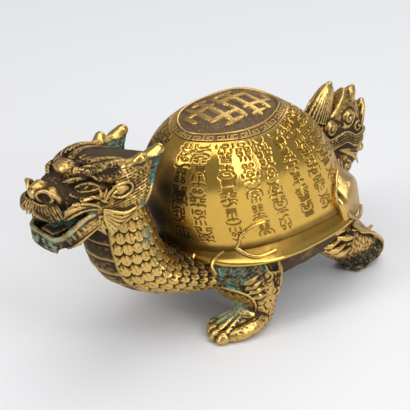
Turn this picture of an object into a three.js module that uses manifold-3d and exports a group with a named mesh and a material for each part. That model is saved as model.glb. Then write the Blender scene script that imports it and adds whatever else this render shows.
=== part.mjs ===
// Cast brass dragon turtle: a turtle with a dragon's head, horns, mane and flame tail, in one piece.
// Millimetres. +X is the turtle's left, the head looks towards -Y, +Z is up, the soles rest on Z = 0.
import * as THREE from "three";
import { mergeVertices } from "three/addons/utils/BufferGeometryUtils.js";
import Module from "manifold-3d";

// Shell: the outline of the rim, the dome above it and the skirt between the two
const RIM_HALF_WIDTH = 34;
const RIM_FRONT_LENGTH = 38;
const RIM_REAR_LENGTH = 46;
const RIM_CENTRE_Y = 2;
const RIM_FRONT_POWER = 2.3;
const RIM_REAR_POWER = 2.8;
const RIM_HEIGHT = 30;
const RIM_THICKNESS = 2.2;
const FOOT_HALF_WIDTH = 29;
const FOOT_CENTRE_Y = 6;
const FOOT_FRONT_LENGTH = 41.3;
const FOOT_REAR_LENGTH = 36.6;
const FOOT_FRONT_POWER = 2.26;
const FOOT_REAR_POWER = 3.3;
const FOOT_HEIGHT = 35.2;
const SHELL_TOP = 79.4;
const DOME_LEAN = -13.6;
const LEAN_POWER = 0.6;
const DOME_FRONT_POWER = 2.53;
const DOME_SIDE_POWER = 2.68;
const DOME_REAR_POWER = 3.05;

// Oval medallion sunk in the top of the shell, with a lattice emblem of raised bars
const MEDALLION_CENTRE_Y = -6.95;
const MEDALLION_HALF_LENGTH = 21.3;
const MEDALLION_HALF_WIDTH = 15.1;
const MEDALLION_DEPTH = 0.9;
const BAR_WIDTH = 2;

// Body between the rim and the plastron
const PLASTRON_HEIGHT = 13;

// Neck with its belly plates and scales
const PLATE_COUNT = 7;
const PLATE_RELIEF = 0.9;
const SCALE_ROWS = 5;
const SCALE_COLUMNS = 4;
const SCALE_RELIEF = 0.9;

// Head
const MOUTH_WIDTH = 8.5;
const HORN_SPACING = 21;

// Legs and toes: the right front foot stands a little further back than the left
const FOOT_TOES = 4;
const STRIDE = 5;

// Tail
const TAIL_THICKNESS = 11;

// Facets finer than this are merged with their neighbours
const FACET_TOLERANCE = 0.26;

const brass = new THREE.MeshStandardMaterial({ color: 0xa8842f, roughness: 0.34, metalness: 1 });
brass.name = "brass";

const wasm = await Module();
wasm.setup();

const lerp = THREE.MathUtils.lerp;
const signedPower = (v, p) => Math.sign(v) * Math.abs(v) ** p;

// A manifold solid from a closed three.js geometry
function solid(geometry) {
  const bare = geometry.clone();
  bare.deleteAttribute("normal");
  bare.deleteAttribute("uv");
  const merged = mergeVertices(bare, 1e-4);
  return new wasm.Manifold(
    new wasm.Mesh({
      numProp: 3,
      vertProperties: merged.attributes.position.array,
      triVerts: new Uint32Array(merged.index.array),
    }),
  );
}

// Moves every vertex of a geometry by a function from vector to vector
function reshape(geometry, move) {
  const at = geometry.attributes.position;
  const v = new THREE.Vector3();
  for (let i = 0; i < at.count; i += 1) {
    v.fromBufferAttribute(at, i);
    move(v);
    at.setXYZ(i, v.x, v.y, v.z);
  }
  return geometry;
}

function ball(centre, radii, turns = [0, 0, 0], detail = 8) {
  const shape = new THREE.SphereGeometry(1, detail, Math.round(detail * 0.6));
  shape.scale(...radii);
  shape.rotateX(turns[0]);
  shape.rotateY(turns[1]);
  shape.rotateZ(turns[2]);
  shape.translate(...centre);
  return solid(shape);
}

// A closed body through stations [x, y, z, half width, half height], rounded off at both ends
function loft(stations, sides = 12, rings = 10, round = 0.35) {
  const path = new THREE.CatmullRomCurve3(
    stations.map((s) => new THREE.Vector3(s[0], s[1], s[2])),
    false,
    "centripetal",
  );
  const sizes = new THREE.CatmullRomCurve3(
    stations.map((s, i) => new THREE.Vector3(s[3], s[4], i)),
    false,
    "catmullrom",
    0.4,
  );
  const shape = new THREE.CylinderGeometry(1, 1, 1, sides, rings, false);
  const side = new THREE.Vector3();
  const rise = new THREE.Vector3();
  return solid(
    reshape(shape, (v) => {
      const t = THREE.MathUtils.clamp(0.5 - v.y, 0, 1);
      const ends = Math.min(t, 1 - t) * rings;
      const squeeze = ends < 0.5 ? round : 1;
      const centre = path.getPoint(t);
      const size = sizes.getPoint(t);
      const along = path.getTangent(t);
      side.set(1, 0, 0);
      side.addScaledVector(along, -side.dot(along)).normalize();
      rise.crossVectors(along, side);
      v.set(v.x * size.x * squeeze, 0, v.z * size.y * squeeze);
      v.copy(centre.addScaledVector(side, v.x).addScaledVector(rise, v.z));
    }),
  );
}

function mirrored(body) {
  return body.mirror([1, 0, 0]);
}

function joined(bodies) {
  return wasm.Manifold.union(bodies);
}

// Both a body and its mirror image across the middle plane
function pair(body) {
  return body.add(mirrored(body));
}

// Point of the shell's outline, drawn in by an inset: c and s are the cosine and sine from the rear
function outline(c, s, inset) {
  const power = c < 0 ? RIM_FRONT_POWER : RIM_REAR_POWER;
  const length = (c < 0 ? RIM_FRONT_LENGTH : RIM_REAR_LENGTH) - inset;
  return [
    (RIM_HALF_WIDTH - inset) * signedPower(s, 2 / power),
    RIM_CENTRE_Y + length * signedPower(c, 2 / power),
  ];
}

// Point of the dome, which leans forward: r is 0 on the apex and 1 at the foot of the wall
function domePoint(c, s, r) {
  const plan = c < 0 ? FOOT_FRONT_POWER : FOOT_REAR_POWER;
  const length = c < 0 ? FOOT_FRONT_LENGTH : FOOT_REAR_LENGTH;
  const end = c < 0 ? DOME_FRONT_POWER : DOME_REAR_POWER;
  const power = lerp(DOME_SIDE_POWER, end, Math.abs(c) ** 1.5);
  const h = Math.max(0, 1 - r ** power) ** (1 / power);
  return [
    FOOT_HALF_WIDTH * signedPower(s, 2 / plan) * r,
    FOOT_CENTRE_Y + DOME_LEAN * h ** LEAN_POWER + length * signedPower(c, 2 / plan) * r,
    FOOT_HEIGHT + (SHELL_TOP - FOOT_HEIGHT) * h,
  ];
}

// The skirt runs from the foot of the dome (share 1) out to the rim (share 0); a petal border swells it at the rear
function shell() {
  const dome = [0, 0.15, 0.3, 0.45, 0.58, 0.7, 0.8, 0.88, 0.94, 0.98, 1];
  const skirt = [
    [0.72, 33.4, 7.5],
    [0.3, 31.2, 3.6],
    [0, 30, 0.6],
    [0.05, RIM_HEIGHT - RIM_THICKNESS, 0],
    [0.9, RIM_HEIGHT - RIM_THICKNESS - 0.6, 0],
  ];
  const rows = dome.length + skirt.length;
  const profile = [...Array(rows).keys()].map((i) => new THREE.Vector2(i ? 1 : 0, -i));
  profile.push(new THREE.Vector2(0, -rows));
  const shape = new THREE.LatheGeometry(profile.reverse(), 48);
  return solid(
    reshape(shape, (v) => {
      const row = Math.round(-v.y);
      const turn = Math.hypot(v.x, v.z) || 1;
      const c = -v.z / turn;
      const s = v.x / turn;
      const swell = THREE.MathUtils.smoothstep(c, 0.4, 0.64);
      if (row === 0) {
        v.set(...domePoint(1, 0, 0));
      } else if (row === rows) {
        v.set(0, RIM_CENTRE_Y, RIM_HEIGHT - RIM_THICKNESS - 4);
      } else if (row < dome.length) {
        v.set(...domePoint(c, s, dome[row]));
        const low = row === dome.length - 1 ? swell : 0;
        v.set(v.x * (1 + 0.05 * low), v.y + 2.2 * low * c, v.z + 6.4 * low);
      } else {
        const [share, height, more] = skirt[row - dome.length];
        const [x, y] = outline(c, s, 0);
        const [footX, footY] = domePoint(c, s, 1);
        v.set(lerp(x, footX, share), lerp(y, footY, share), height + more * swell);
      }
    }),
  );
}

function body() {
  const steps = [
    [3.4, 29],
    [3.2, 25.5],
    [5.2, 20.5],
    [9.5, 16.2],
    [16, 13.6],
    [24, PLASTRON_HEIGHT],
  ];
  const rows = steps.length + 1;
  const profile = [new THREE.Vector2(0, 0)];
  steps.forEach((step, i) => profile.push(new THREE.Vector2(1, -i - 1)));
  profile.push(new THREE.Vector2(0, -rows));
  const shape = new THREE.LatheGeometry(profile.reverse(), 32);
  return solid(
    reshape(shape, (v) => {
      const row = Math.round(-v.y);
      const turn = Math.hypot(v.x, v.z) || 1;
      if (row === 0) {
        v.set(0, RIM_CENTRE_Y, RIM_HEIGHT + 4);
      } else if (row === rows) {
        v.set(0, RIM_CENTRE_Y, PLASTRON_HEIGHT);
      } else {
        const [inset, height] = steps[row - 1];
        v.set(...outline(-v.z / turn, v.x / turn, inset), height);
      }
    }),
  );
}

// Height of the dome over a point of the plan
function domeHeight(x, y) {
  let h = 1;
  for (let i = 0; i < 50; i += 1) {
    const dy = y - FOOT_CENTRE_Y - DOME_LEAN * h ** LEAN_POWER;
    const plan = dy < 0 ? FOOT_FRONT_POWER : FOOT_REAR_POWER;
    const length = dy < 0 ? FOOT_FRONT_LENGTH : FOOT_REAR_LENGTH;
    const u = (Math.abs(x) / FOOT_HALF_WIDTH) ** plan;
    const w = (Math.abs(dy) / length) ** plan;
    const end = dy < 0 ? DOME_FRONT_POWER : DOME_REAR_POWER;
    const power = lerp(DOME_SIDE_POWER, end, (w / (u + w || 1)) ** 0.75);
    const r = Math.min(0.999, (u + w) ** (1 / plan));
    h = lerp(h, (1 - r ** power) ** (1 / power), 0.6);
  }
  return FOOT_HEIGHT + (SHELL_TOP - FOOT_HEIGHT) * h;
}

// The space cleared out of the dome for the medallion
function medallionHollow() {
  const profile = [[0, 0], [0.35, 0], [0.7, 0], [1, 0], [1, 2], [0, 2]];
  const disc = new THREE.LatheGeometry(profile.map((p) => new THREE.Vector2(...p)), 32);
  return solid(
    reshape(disc, (v) => {
      const x = MEDALLION_HALF_WIDTH * v.x;
      const y = MEDALLION_CENTRE_Y - MEDALLION_HALF_LENGTH * v.z;
      const above = v.y > 1 ? 6 : -MEDALLION_DEPTH;
      v.set(x, y, domeHeight(x, y) + above);
    }),
  );
}

// One bar of the emblem between two points of the plan, following the dome
function bar(x0, y0, x1, y1) {
  const run = Math.hypot(x1 - x0, y1 - y0);
  const ux = (x1 - x0) / run;
  const uy = (y1 - y0) / run;
  const strip = new THREE.BoxGeometry(run + 0.6, BAR_WIDTH, 1, Math.ceil(run / 7), 1, 1);
  return solid(
    reshape(strip, (v) => {
      const x = (x0 + x1) / 2 + ux * v.x - uy * v.y;
      const y = MEDALLION_CENTRE_Y + (y0 + y1) / 2 + uy * v.x + ux * v.y;
      v.set(x, y, domeHeight(x, y) + (v.z > 0 ? 0.1 : -MEDALLION_DEPTH - 1));
    }),
  );
}

// Lattice of crossing bars and posts, the same when turned half round
function emblem() {
  const bars = [
    [-9.6, -11.8, 4, -11.8],
    [-11.4, -6, 9.6, -6],
    [-9.2, -0.4, 0, 0],
    [-4.6, -16.6, 0.4, -16.6],
    [-4.6, -16.8, -4.6, -3.4],
    [4.4, -12.6, 4.4, 0.2],
    [9.2, -9.6, 9.2, -1.4],
    [-9.6, -9.2, -9.6, -3],
  ];
  return joined(bars.flatMap(([a, b, c, d]) => [bar(a, b, c, d), bar(-a, -b, -c, -d)]));
}

const NECK = [
  [0, -8, 22, 21, 7.2],
  [0, -20, 22, 21, 7.4],
  [0, -31, 22.8, 20.4, 7],
  [0, -41.6, 25.7, 18.8, 7.5],
  [0, -51, 30.6, 16.8, 9.6],
  [0, -57.4, 38, 14.8, 11.9],
  [0, -60.9, 48, 13.2, 12],
  [0, -62.4, 57, 11.8, 11.4],
  [0, -61.9, 66, 10.6, 9.8],
  [0, -60, 72, 9.4, 8],
];

// Point of the neck's skin: t runs from the body to the head, turn 0 is the left side and 90 the nape
const neckPath = new THREE.CatmullRomCurve3(
  NECK.map((s) => new THREE.Vector3(s[0], s[1], s[2])),
  false,
  "centripetal",
);

function neckFrame(t, turn, lift) {
  const k = t * (NECK.length - 1);
  const i = Math.min(Math.floor(k), NECK.length - 2);
  const a = lerp(NECK[i][3], NECK[i + 1][3], k - i) + lift;
  const b = lerp(NECK[i][4], NECK[i + 1][4], k - i) + lift;
  const angle = THREE.MathUtils.degToRad(turn);
  const along = neckPath.getTangent(t);
  const rise = new THREE.Vector3().crossVectors(along, new THREE.Vector3(1, 0, 0)).normalize();
  const point = neckPath.getPoint(t).addScaledVector(rise, b * Math.sin(angle));
  point.x += a * Math.cos(angle);
  const normal = rise.multiplyScalar(Math.sin(angle));
  normal.x += Math.cos(angle);
  return { point, normal: normal.normalize(), along };
}

function scale(t, turn, size) {
  const { point, normal, along } = neckFrame(t, turn, 0.1);
  const flat = along.clone().addScaledVector(normal, -along.dot(normal)).normalize();
  const across = new THREE.Vector3().crossVectors(normal, flat);
  const tilt = normal.clone().addScaledVector(flat, 0.22).normalize();
  const slant = new THREE.Vector3().crossVectors(tilt, across);
  const shape = new THREE.SphereGeometry(1, 6, 3);
  shape.rotateX(Math.PI / 2);
  shape.scale(size, size * 1.15, SCALE_RELIEF);
  shape.applyMatrix4(new THREE.Matrix4().makeBasis(across, slant, tilt));
  shape.translate(point.x, point.y, point.z);
  return solid(shape);
}

// Belly plates down the front of the neck, each one standing over the next
function throat() {
  const rings = 2 * PLATE_COUNT - 1;
  const shape = new THREE.CylinderGeometry(1, 1, 1, 10, rings, false);
  return solid(
    reshape(shape, (v) => {
      const ring = Math.round((0.5 - v.y) * rings);
      const t = 0.34 + (0.48 * (ring + (ring % 2) * 0.7)) / rings;
      const { point, normal } = neckFrame(t, -90, -3);
      const lift = 3.4 + (ring % 2 ? PLATE_RELIEF : 0);
      const width = lerp(9, 6.5, ring / rings);
      const across = v.x * width;
      point.addScaledVector(normal, v.z > 0 ? -v.z * 2 : -v.z * lift);
      v.set(point.x + across, point.y, point.z);
    }),
  );
}

function neck() {
  const parts = [loft(NECK, 16, 12, 0.9)];
  for (let row = 0; row < SCALE_ROWS; row += 1) {
    for (let column = 0; column < SCALE_COLUMNS; column += 1) {
      const t = 0.4 + 0.085 * row;
      const turn = -34 + 24 * column + (row % 2) * 12;
      parts.push(pair(scale(t, turn, 3.7 - 0.2 * row)));
    }
  }
  parts.push(throat());
  return joined(parts);
}

function head() {
  const parts = [];
  parts.push(loft([
    [0, -47, 71, 6, 4],
    [0, -55, 71.5, 9, 5.6],
    [0, -66, 72.5, 11.5, 8],
    [0, -76, 74, 11.5, 8],
    [0, -84, 73.6, 9.2, 7],
    [0, -91, 73, 6.8, 5.4],
    [0, -96, 72.8, 6, 5],
    [0, -99, 72.2, 4.4, 3.6],
  ], 12, 10, 0.55));
  parts.push(ball([0, -94.4, 75.8], [3.8, 4, 3.8], [0, 0, 0], 10));
  parts.push(pair(ball([3.5, -94.2, 75.2], [2.9, 3.6, 3])));
  parts.push(pair(ball([9, -75, 69], [4.6, 8, 6])));
  parts.push(ball([0, -82.6, 79.8], [5.6, 4, 3.9]));
  parts.push(pair(loft([
    [4, -82, 80.2, 2.2, 2.2],
    [7.6, -77.4, 80, 2.5, 2.5],
    [8.6, -70, 80, 2.1, 2.3],
    [8.6, -63, 77.6, 1.6, 2],
  ], 8, 6, 0.4)));
  parts.push(pair(ball([8.3, -81.8, 76.8], [2.2, 2.5, 1.8])));
  const nostrils = pair(ball([5.4, -97, 75.4], [1.5, 2.2, 1.4], [0, 0, 0.5], 8));
  return joined(parts).subtract(nostrils);
}

function jaw() {
  const bowl = loft([
    [0, -66, 62, 9, 5],
    [0, -76, 60.8, 9.5, 4.2],
    [0, -84, 58.4, MOUTH_WIDTH, 3.4],
    [0, -90, 57.2, 7.4, 3],
    [0, -93, 57.4, 6, 2.6],
  ], 14, 8, 0.65);
  return bowl.subtract(ball([0, -85, 62.4], [6.2, 8.2, 3.6]));
}

function horns() {
  const half = HORN_SPACING / 2;
  return pair(joined([
    loft([
      [8, -62, 71, 3.4, 3.4],
      [half - 0.6, -60, 76, 2.9, 2.9],
      [half + 0.4, -58.4, 80, 1.9, 1.9],
    ], 8, 5, 0.5),
    loft([
      [7.4, -59.5, 68, 4.5, 4.5],
      [half - 1.4, -54.6, 75, 3.7, 3.7],
      [half - 0.7, -49.4, 81.2, 2.1, 2.1],
    ], 8, 5, 0.5),
  ]));
}

// Fan of hair behind each cheek, an outline in the side view thickened and flared outwards
function mane() {
  const edge = new THREE.Shape();
  edge.moveTo(-77, 64);
  edge.quadraticCurveTo(-73, 75, -65, 78);
  edge.quadraticCurveTo(-57, 79.4, -51, 79.6);
  edge.quadraticCurveTo(-54, 76, -58.5, 71);
  edge.quadraticCurveTo(-62, 68, -64.5, 63);
  edge.quadraticCurveTo(-67, 59, -73, 58);
  edge.quadraticCurveTo(-77, 59, -77, 64);
  const plate = new THREE.ExtrudeGeometry(edge, {
    depth: 3,
    steps: 1,
    curveSegments: 4,
    bevelEnabled: true,
    bevelThickness: 0.8,
    bevelSize: 0.7,
    bevelSegments: 1,
  });
  return pair(solid(reshape(plate, (v) => {
    const low = THREE.MathUtils.clamp((80 - v.y) / 18, 0, 1);
    v.set(7.4 + 0.52 * (v.x + 77) * low + v.z, v.x, v.y);
  })));
}

function ear() {
  return pair(loft([
    [12, -76, 70.6, 1.4, 1.8],
    [13.6, -71, 73, 1.5, 2.9],
    [14.2, -66.2, 73.4, 1, 1.4],
  ], 8, 4, 0.4));
}

function toes(x, y, reach, spread, lift) {
  const row = [];
  for (let i = 0; i < FOOT_TOES; i += 1) {
    const k = i / (FOOT_TOES - 1) - 0.5;
    const ty = y + Math.abs(k) * 5;
    row.push(loft([
      [x + k * spread * 0.6, ty + reach, lift, 2.4, 2.6],
      [x + k * spread, ty + 2.4, lift * 0.75, 2.6, 2.9],
      [x + k * spread, ty, 1.4, 1.8, 1.8],
    ], 6, 3, 0.5));
  }
  return joined(row);
}

function frontLeg(back) {
  return joined([
    loft([
      [16.6, -20.4, 29.4, 9, 11.4],
      [19.6, -20.8, 25.6, 7.8, 12],
      [23, -19.4, 20.6, 6.8, 10.8],
      [25.3, -16.8 + back * 0.6, 14.5, 5.7, 8.4],
      [25.8, -15.8 + back, 8.5, 5, 6.6],
      [25.4, -16.8 + back, 3, 5.2, 6.2],
      [25.4, -17 + back, -2, 5.2, 6],
    ], 9, 7, 0.9),
    ball([24.4, -22.6 + back, 3.3], [6.4, 8.6, 4.3]),
    ball([28.4, -25 + back, 3], [3.4, 8.4, 3.2]),
    toes(22.3, -33.2 + back, 9, 9.4, 4),
  ]);
}

function rearLeg() {
  return joined([
    loft([
      [17.6, 24.6, 28, 8, 11.6],
      [20.8, 28.4, 22, 7.3, 11],
      [22.4, 36, 14.5, 6.2, 9.2],
      [22.6, 43, 8, 5.8, 8],
      [22.6, 46, -2, 5.3, 7],
    ], 9, 6, 0.9),
    ball([22.4, 45.4, 4.4], [5.6, 8.4, 4.6]),
    toes(21.2, 38.4, 8, 9.2, 4.2),
  ]);
}

// Rounded pads of the chest between the neck and the front legs
function chest() {
  return pair(ball([10, -34.4, 23.6], [9, 7.4, 5.6]));
}

function legs() {
  return joined([frontLeg(0), mirrored(frontLeg(STRIDE)), pair(rearLeg())]);
}

function tail() {
  const half = TAIL_THICKNESS / 2;
  const flame = (stations) => loft(stations, 8, 5, 0.4);
  const parts = [
    loft([
      [0, 50.8, 25.6, 3, 4.2],
      [0, 51.2, 31.6, 4.2, 7.4],
      [0, 54.2, 39, 5, 10],
      [0, 54.8, 45, half - 0.2, 10.8],
      [0, 52.4, 50.6, half - 0.2, 12.2],
      [0, 47.2, 57.2, half - 1.2, 12.6],
    ], 12, 8, 0.6),
    loft([
      [0, 38, 26, 6.5, 5],
      [0, 44.6, 33, 5.4, 6.6],
      [0, 43.4, 44, 4.6, 6.4],
      [0, 38, 54, 4, 5.4],
    ], 10, 5, 0.7),
    flame([
      [0, 39.8, 56, 3.9, 7.4],
      [0, 42.8, 64, 3.2, 5.4],
      [0, 45.8, 69.4, 2, 2.7],
      [0, 46.9, 71.8, 0.9, 1.2],
    ]),
    flame([
      [0, 53.8, 53.6, 3.9, 5.4],
      [0, 56.2, 60.2, 3.1, 3.9],
      [0, 59.2, 64.4, 1.9, 2],
      [0, 60.2, 66.3, 0.9, 1.1],
    ]),
    flame([
      [0, 61.8, 47.6, 3.6, 3.2],
      [0, 63.9, 53, 2.6, 2.2],
      [0, 65.4, 57, 1.4, 1.4],
      [0, 65.9, 58.6, 0.9, 0.9],
    ]),
    loft([
      [0, 58.5, 45.2, 3, 3],
      [0, 63, 44.8, 2, 2],
      [0, 67.6, 44.4, 1.9, 1.9],
    ], 8, 4, 0.6),
    loft([
      [0, 58.5, 37.7, 3, 3],
      [0, 63, 37.2, 2, 2],
      [0, 67, 36.9, 2, 2],
    ], 8, 4, 0.6),
    pair(ball([3.9, 53.4, 55.6], [1.9, 4.2, 4])),
    pair(ball([3.8, 43.8, 54], [1.8, 3.5, 3.5])),
  ];
  return joined(parts);
}

// Everything joined, cut flat at the soles, as one skin with no pockets sealed inside it
function turtle() {
  const whole = joined([
    shell().subtract(medallionHollow()),
    emblem(),
    body(),
    neck(),
    head(),
    jaw(),
    horns(),
    mane(),
    ear(),
    chest(),
    legs(),
    tail(),
  ]);
  const aboveGround = solid(new THREE.BoxGeometry(400, 400, 200).translate(0, 0, 100));
  const cut = whole.intersect(aboveGround).simplify(FACET_TOLERANCE);
  return cut.decompose().reduce((best, next) => (next.volume() > best.volume() ? next : best));
}

// The mesh of a manifold solid, its box centred over the origin and resting on Z = 0
function meshed(body) {
  const { vertProperties, triVerts } = body.getMesh();
  const geometry = new THREE.BufferGeometry();
  geometry.setAttribute("position", new THREE.BufferAttribute(vertProperties, 3));
  geometry.setIndex(new THREE.BufferAttribute(triVerts, 1));
  geometry.computeBoundingBox();
  const { min, max } = geometry.boundingBox;
  geometry.translate(-(min.x + max.x) / 2, -(min.y + max.y) / 2, -min.z);
  const flat = geometry.toNonIndexed();
  flat.computeVertexNormals();
  return flat;
}

const dragonTurtle = new THREE.Mesh(meshed(turtle()), brass);
dragonTurtle.name = "dragon_turtle";

const group = new THREE.Group();
group.name = "dragon_turtle_figure";
group.add(dragonTurtle);

export default group;
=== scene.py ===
import math
import random

import bmesh
import bpy
import numpy as np
from bpy.props import FloatProperty, FloatVectorProperty, IntProperty, PointerProperty
from mathutils import Matrix, Vector


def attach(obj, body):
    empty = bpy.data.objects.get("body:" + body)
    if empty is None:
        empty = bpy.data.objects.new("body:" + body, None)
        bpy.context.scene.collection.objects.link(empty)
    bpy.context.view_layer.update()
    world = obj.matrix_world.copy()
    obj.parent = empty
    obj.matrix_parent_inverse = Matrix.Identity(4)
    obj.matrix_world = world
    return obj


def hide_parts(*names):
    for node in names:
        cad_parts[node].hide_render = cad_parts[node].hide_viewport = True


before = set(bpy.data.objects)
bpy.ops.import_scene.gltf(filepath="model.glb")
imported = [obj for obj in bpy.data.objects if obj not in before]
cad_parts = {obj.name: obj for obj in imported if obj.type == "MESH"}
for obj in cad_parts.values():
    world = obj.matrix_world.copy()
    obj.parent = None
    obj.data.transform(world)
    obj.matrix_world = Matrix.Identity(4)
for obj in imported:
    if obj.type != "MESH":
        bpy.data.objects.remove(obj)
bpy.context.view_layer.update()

bl_info = {
    "name": "Brass dragon turtle",
    "version": (1, 0, 0),
    "blender": (4, 5, 0),
    "location": "3D View > Sidebar > Dragon turtle",
    "description": "Cast brass dragon turtle with an incised shell and worn patina",
    "category": "Add Mesh",
}

NODE = "dragon_turtle"
MM = 0.001
# Shapes are worked out in millimetres from the middle of the body; the row's origin lies
# this far in front of that middle, under the centre of the whole figure.
SETBACK = 15.845

# Shell, in millimetres
RIM_HALF_WIDTH = 34.0
RIM_FRONT_LENGTH = 38.0
RIM_REAR_LENGTH = 46.0
RIM_CENTRE_Y = 2.0
RIM_FRONT_POWER = 2.3
RIM_REAR_POWER = 2.8
RIM_HEIGHT = 30.0
FOOT_HALF_WIDTH = 29.0
FOOT_CENTRE_Y = 6.0
FOOT_FRONT_LENGTH = 41.3
FOOT_REAR_LENGTH = 36.6
FOOT_FRONT_POWER = 2.26
FOOT_REAR_POWER = 3.3
FOOT_HEIGHT = 35.2
SHELL_TOP = 79.4
LEAN = -13.6
LEAN_POWER = 0.6
DOME_FRONT_POWER = 2.53
DOME_SIDE_POWER = 2.68
DOME_REAR_POWER = 3.05
OVAL_CENTRE_Y = -6.95
OVAL_HALF_LENGTH = 21.3
OVAL_HALF_WIDTH = 15.1
BAND_WIDTH = 2.85

# Cells of the bent grids, and the size of the voxels that fuse the clay, in millimetres
CROWN_CELLS = 262
WALL_COLUMNS, WALL_ROWS = 720, 130
SKIRT_COLUMNS, SKIRT_ROWS = 720, 46
BELLY_COLUMNS, BELLY_ROWS = 400, 64
NECK_COLUMNS, NECK_ROWS = 330, 280
HEAD_VOXEL = 0.30
MANE_VOXEL = 0.31
SCROLL_VOXEL = 0.32
LEG_VOXEL = 0.33
TAIL_VOXEL = 0.34

# Places of the incised columns, as turns from the rear on either side, and how a column is spaced
COLUMN_TURNS = (163.5, 148, 127, 110.5, 97, 87.5, 77, 61.5, 47, 33, 18)
COLUMN_REACH = 22
COLUMN_SEED = 11
FIRST_MARK_GAP = 0.9
LAST_MARK_GAP_FRONT = 3.4
LAST_MARK_GAP_REAR = 5.0
WIDEST_MARK = 3.3
LOST_MARKS = 0.03

# The right front foot stands this far behind the left one
STEP_BACK = 5


# numbers and curves


def ramp(low, high, x):
    """Smooth step from 0 at low to 1 at high."""
    t = np.clip((x - low) / (high - low), 0, 1)
    return t * t * (3 - 2 * t)


def through(rows, count):
    """Evenly numbered rows along a smooth curve through the given rows."""
    p = np.array(rows, float)
    p = np.vstack([2 * p[0] - p[1], p, 2 * p[-1] - p[-2]])
    t = np.linspace(0, len(p) - 3, count)
    i = np.minimum(t.astype(int), len(p) - 4)
    f = (t - i)[:, None]
    a, b, c, d = p[i], p[i + 1], p[i + 2], p[i + 3]
    squared, cubed = 2 * a - 5 * b + 4 * c - d, 3 * b - a - 3 * c + d
    return 0.5 * (2 * b + (c - a) * f + squared * f**2 + cubed * f**3)


def unit(v):
    """Vectors of length one."""
    return v / np.maximum(np.linalg.norm(v, axis=-1, keepdims=True), 1e-9)


def lattice(cell, seed):
    """Repeatable numbers from 0 to 1 on whole-number cells."""
    h = cell[..., 0] * 374761393 + cell[..., 1] * 668265263 + cell[..., 2] * 1103515245 + seed * 69069
    h = (h ^ (h >> 13)) * 1274126177 & 0xFFFFFFFF
    return ((h ^ (h >> 16)) & 0xFFFF) / 65535.0


def grain(co, size, seed=1):
    """Soft random values from 0 to 1 with lumps of the given size."""
    p = np.asarray(co) / size + 1000.0
    i = np.floor(p).astype(np.int64)
    f = p - i
    f = f * f * (3 - 2 * f)
    total = np.zeros(len(p))
    for corner in range(8):
        step = np.array([corner & 1, corner >> 1 & 1, corner >> 2 & 1])
        weight = np.prod(np.where(step, f, 1 - f), axis=1)
        total += weight * lattice(i + step, seed)
    return total


def spots(co, *places):
    """1 near each place (x, y, z, radius), falling softly to 0."""
    near = np.zeros(len(co))
    for x, y, z, r in places:
        d2 = ((co - (x, y, z)) ** 2).sum(1) / r**2
        near = np.maximum(near, np.exp(-d2))
    return near


def line_distance(points, lines):
    """Distance in a plane from each point to the nearest of the segments."""
    best = np.full(len(points), 1e9)
    for ax, ay, bx, by in lines:
        dx, dy = bx - ax, by - ay
        t = np.clip(((points[:, 0] - ax) * dx + (points[:, 1] - ay) * dy) / (dx * dx + dy * dy + 1e-12),
                    0, 1)
        best = np.minimum(best, (points[:, 0] - ax - dx * t) ** 2 + (points[:, 1] - ay - dy * t) ** 2)
    return np.sqrt(best)


def path_distance(points, path):
    """Distance in space from each point to a line through the given places."""
    path = np.array(path, float)
    best = np.full(len(points), 1e9)
    for a, b in zip(path[:-1], path[1:]):
        d = b - a
        t = np.clip((points - a) @ d / (d @ d), 0, 1)
        best = np.minimum(best, ((points - a - t[:, None] * d) ** 2).sum(1))
    return np.sqrt(best)


# the shell's form


def outline(c, s, inset):
    """Plan of the shell rim, pulled in by inset, for the cosine and sine of the turn from the rear."""
    power = np.where(c < 0, RIM_FRONT_POWER, RIM_REAR_POWER)
    length = np.where(c < 0, RIM_FRONT_LENGTH, RIM_REAR_LENGTH) - inset
    x = (RIM_HALF_WIDTH - inset) * np.sign(s) * np.abs(s) ** (2 / power)
    y = RIM_CENTRE_Y + length * np.sign(c) * np.abs(c) ** (2 / power)
    return x, y


def foot(c, s):
    """Plan of the dome's foot, from its own centre."""
    power = np.where(c < 0, FOOT_FRONT_POWER, FOOT_REAR_POWER)
    length = np.where(c < 0, FOOT_FRONT_LENGTH, FOOT_REAR_LENGTH)
    x = FOOT_HALF_WIDTH * np.sign(s) * np.abs(s) ** (2 / power)
    return x, length * np.sign(c) * np.abs(c) ** (2 / power)


def dome(c, s, rise):
    """Point of the forward-leaning dome; rise runs from 0 at the apex to a quarter turn at the foot."""
    x, y = foot(c, s)
    end = np.where(c < 0, DOME_FRONT_POWER, DOME_REAR_POWER)
    power = DOME_SIDE_POWER + (end - DOME_SIDE_POWER) * np.abs(c) ** 1.5
    r = np.sin(rise) ** (2 / power)
    h = np.maximum(np.cos(rise), 0) ** (2 / power)
    flare = 0.9 * np.clip(1 - h / 0.10, 0, 1) ** 2
    out = unit(np.stack([x, y], -1))
    return np.stack([
        x * r + out[..., 0] * flare,
        FOOT_CENTRE_Y + LEAN * h**LEAN_POWER + y * r + out[..., 1] * flare,
        FOOT_HEIGHT + (SHELL_TOP - FOOT_HEIGHT) * h,
    ], -1)


def band_place(x, y):
    """Turn about the oval, and distance outside its edge in band widths, for points of the plan."""
    turn = np.arctan2(x / OVAL_HALF_WIDTH, (y - OVAL_CENTRE_Y) / OVAL_HALF_LENGTH)
    edge = np.hypot(OVAL_HALF_WIDTH * np.sin(turn), OVAL_HALF_LENGTH * np.cos(turn))
    return turn, (np.hypot(x, y - OVAL_CENTRE_Y) - edge) / BAND_WIDTH


def rise_at_band(c, s):
    """Rise of the dome where it crosses the outer edge of the key border."""
    low, high = np.full(len(c), 0.05), np.full(len(c), 1.5)
    for _ in range(30):
        mid = (low + high) / 2
        p = dome(c, s, mid)
        outside = band_place(p[:, 0], p[:, 1])[1] > 1 - 0.1 / BAND_WIDTH
        high, low = np.where(outside, mid, high), np.where(outside, low, mid)
    return low


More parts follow.
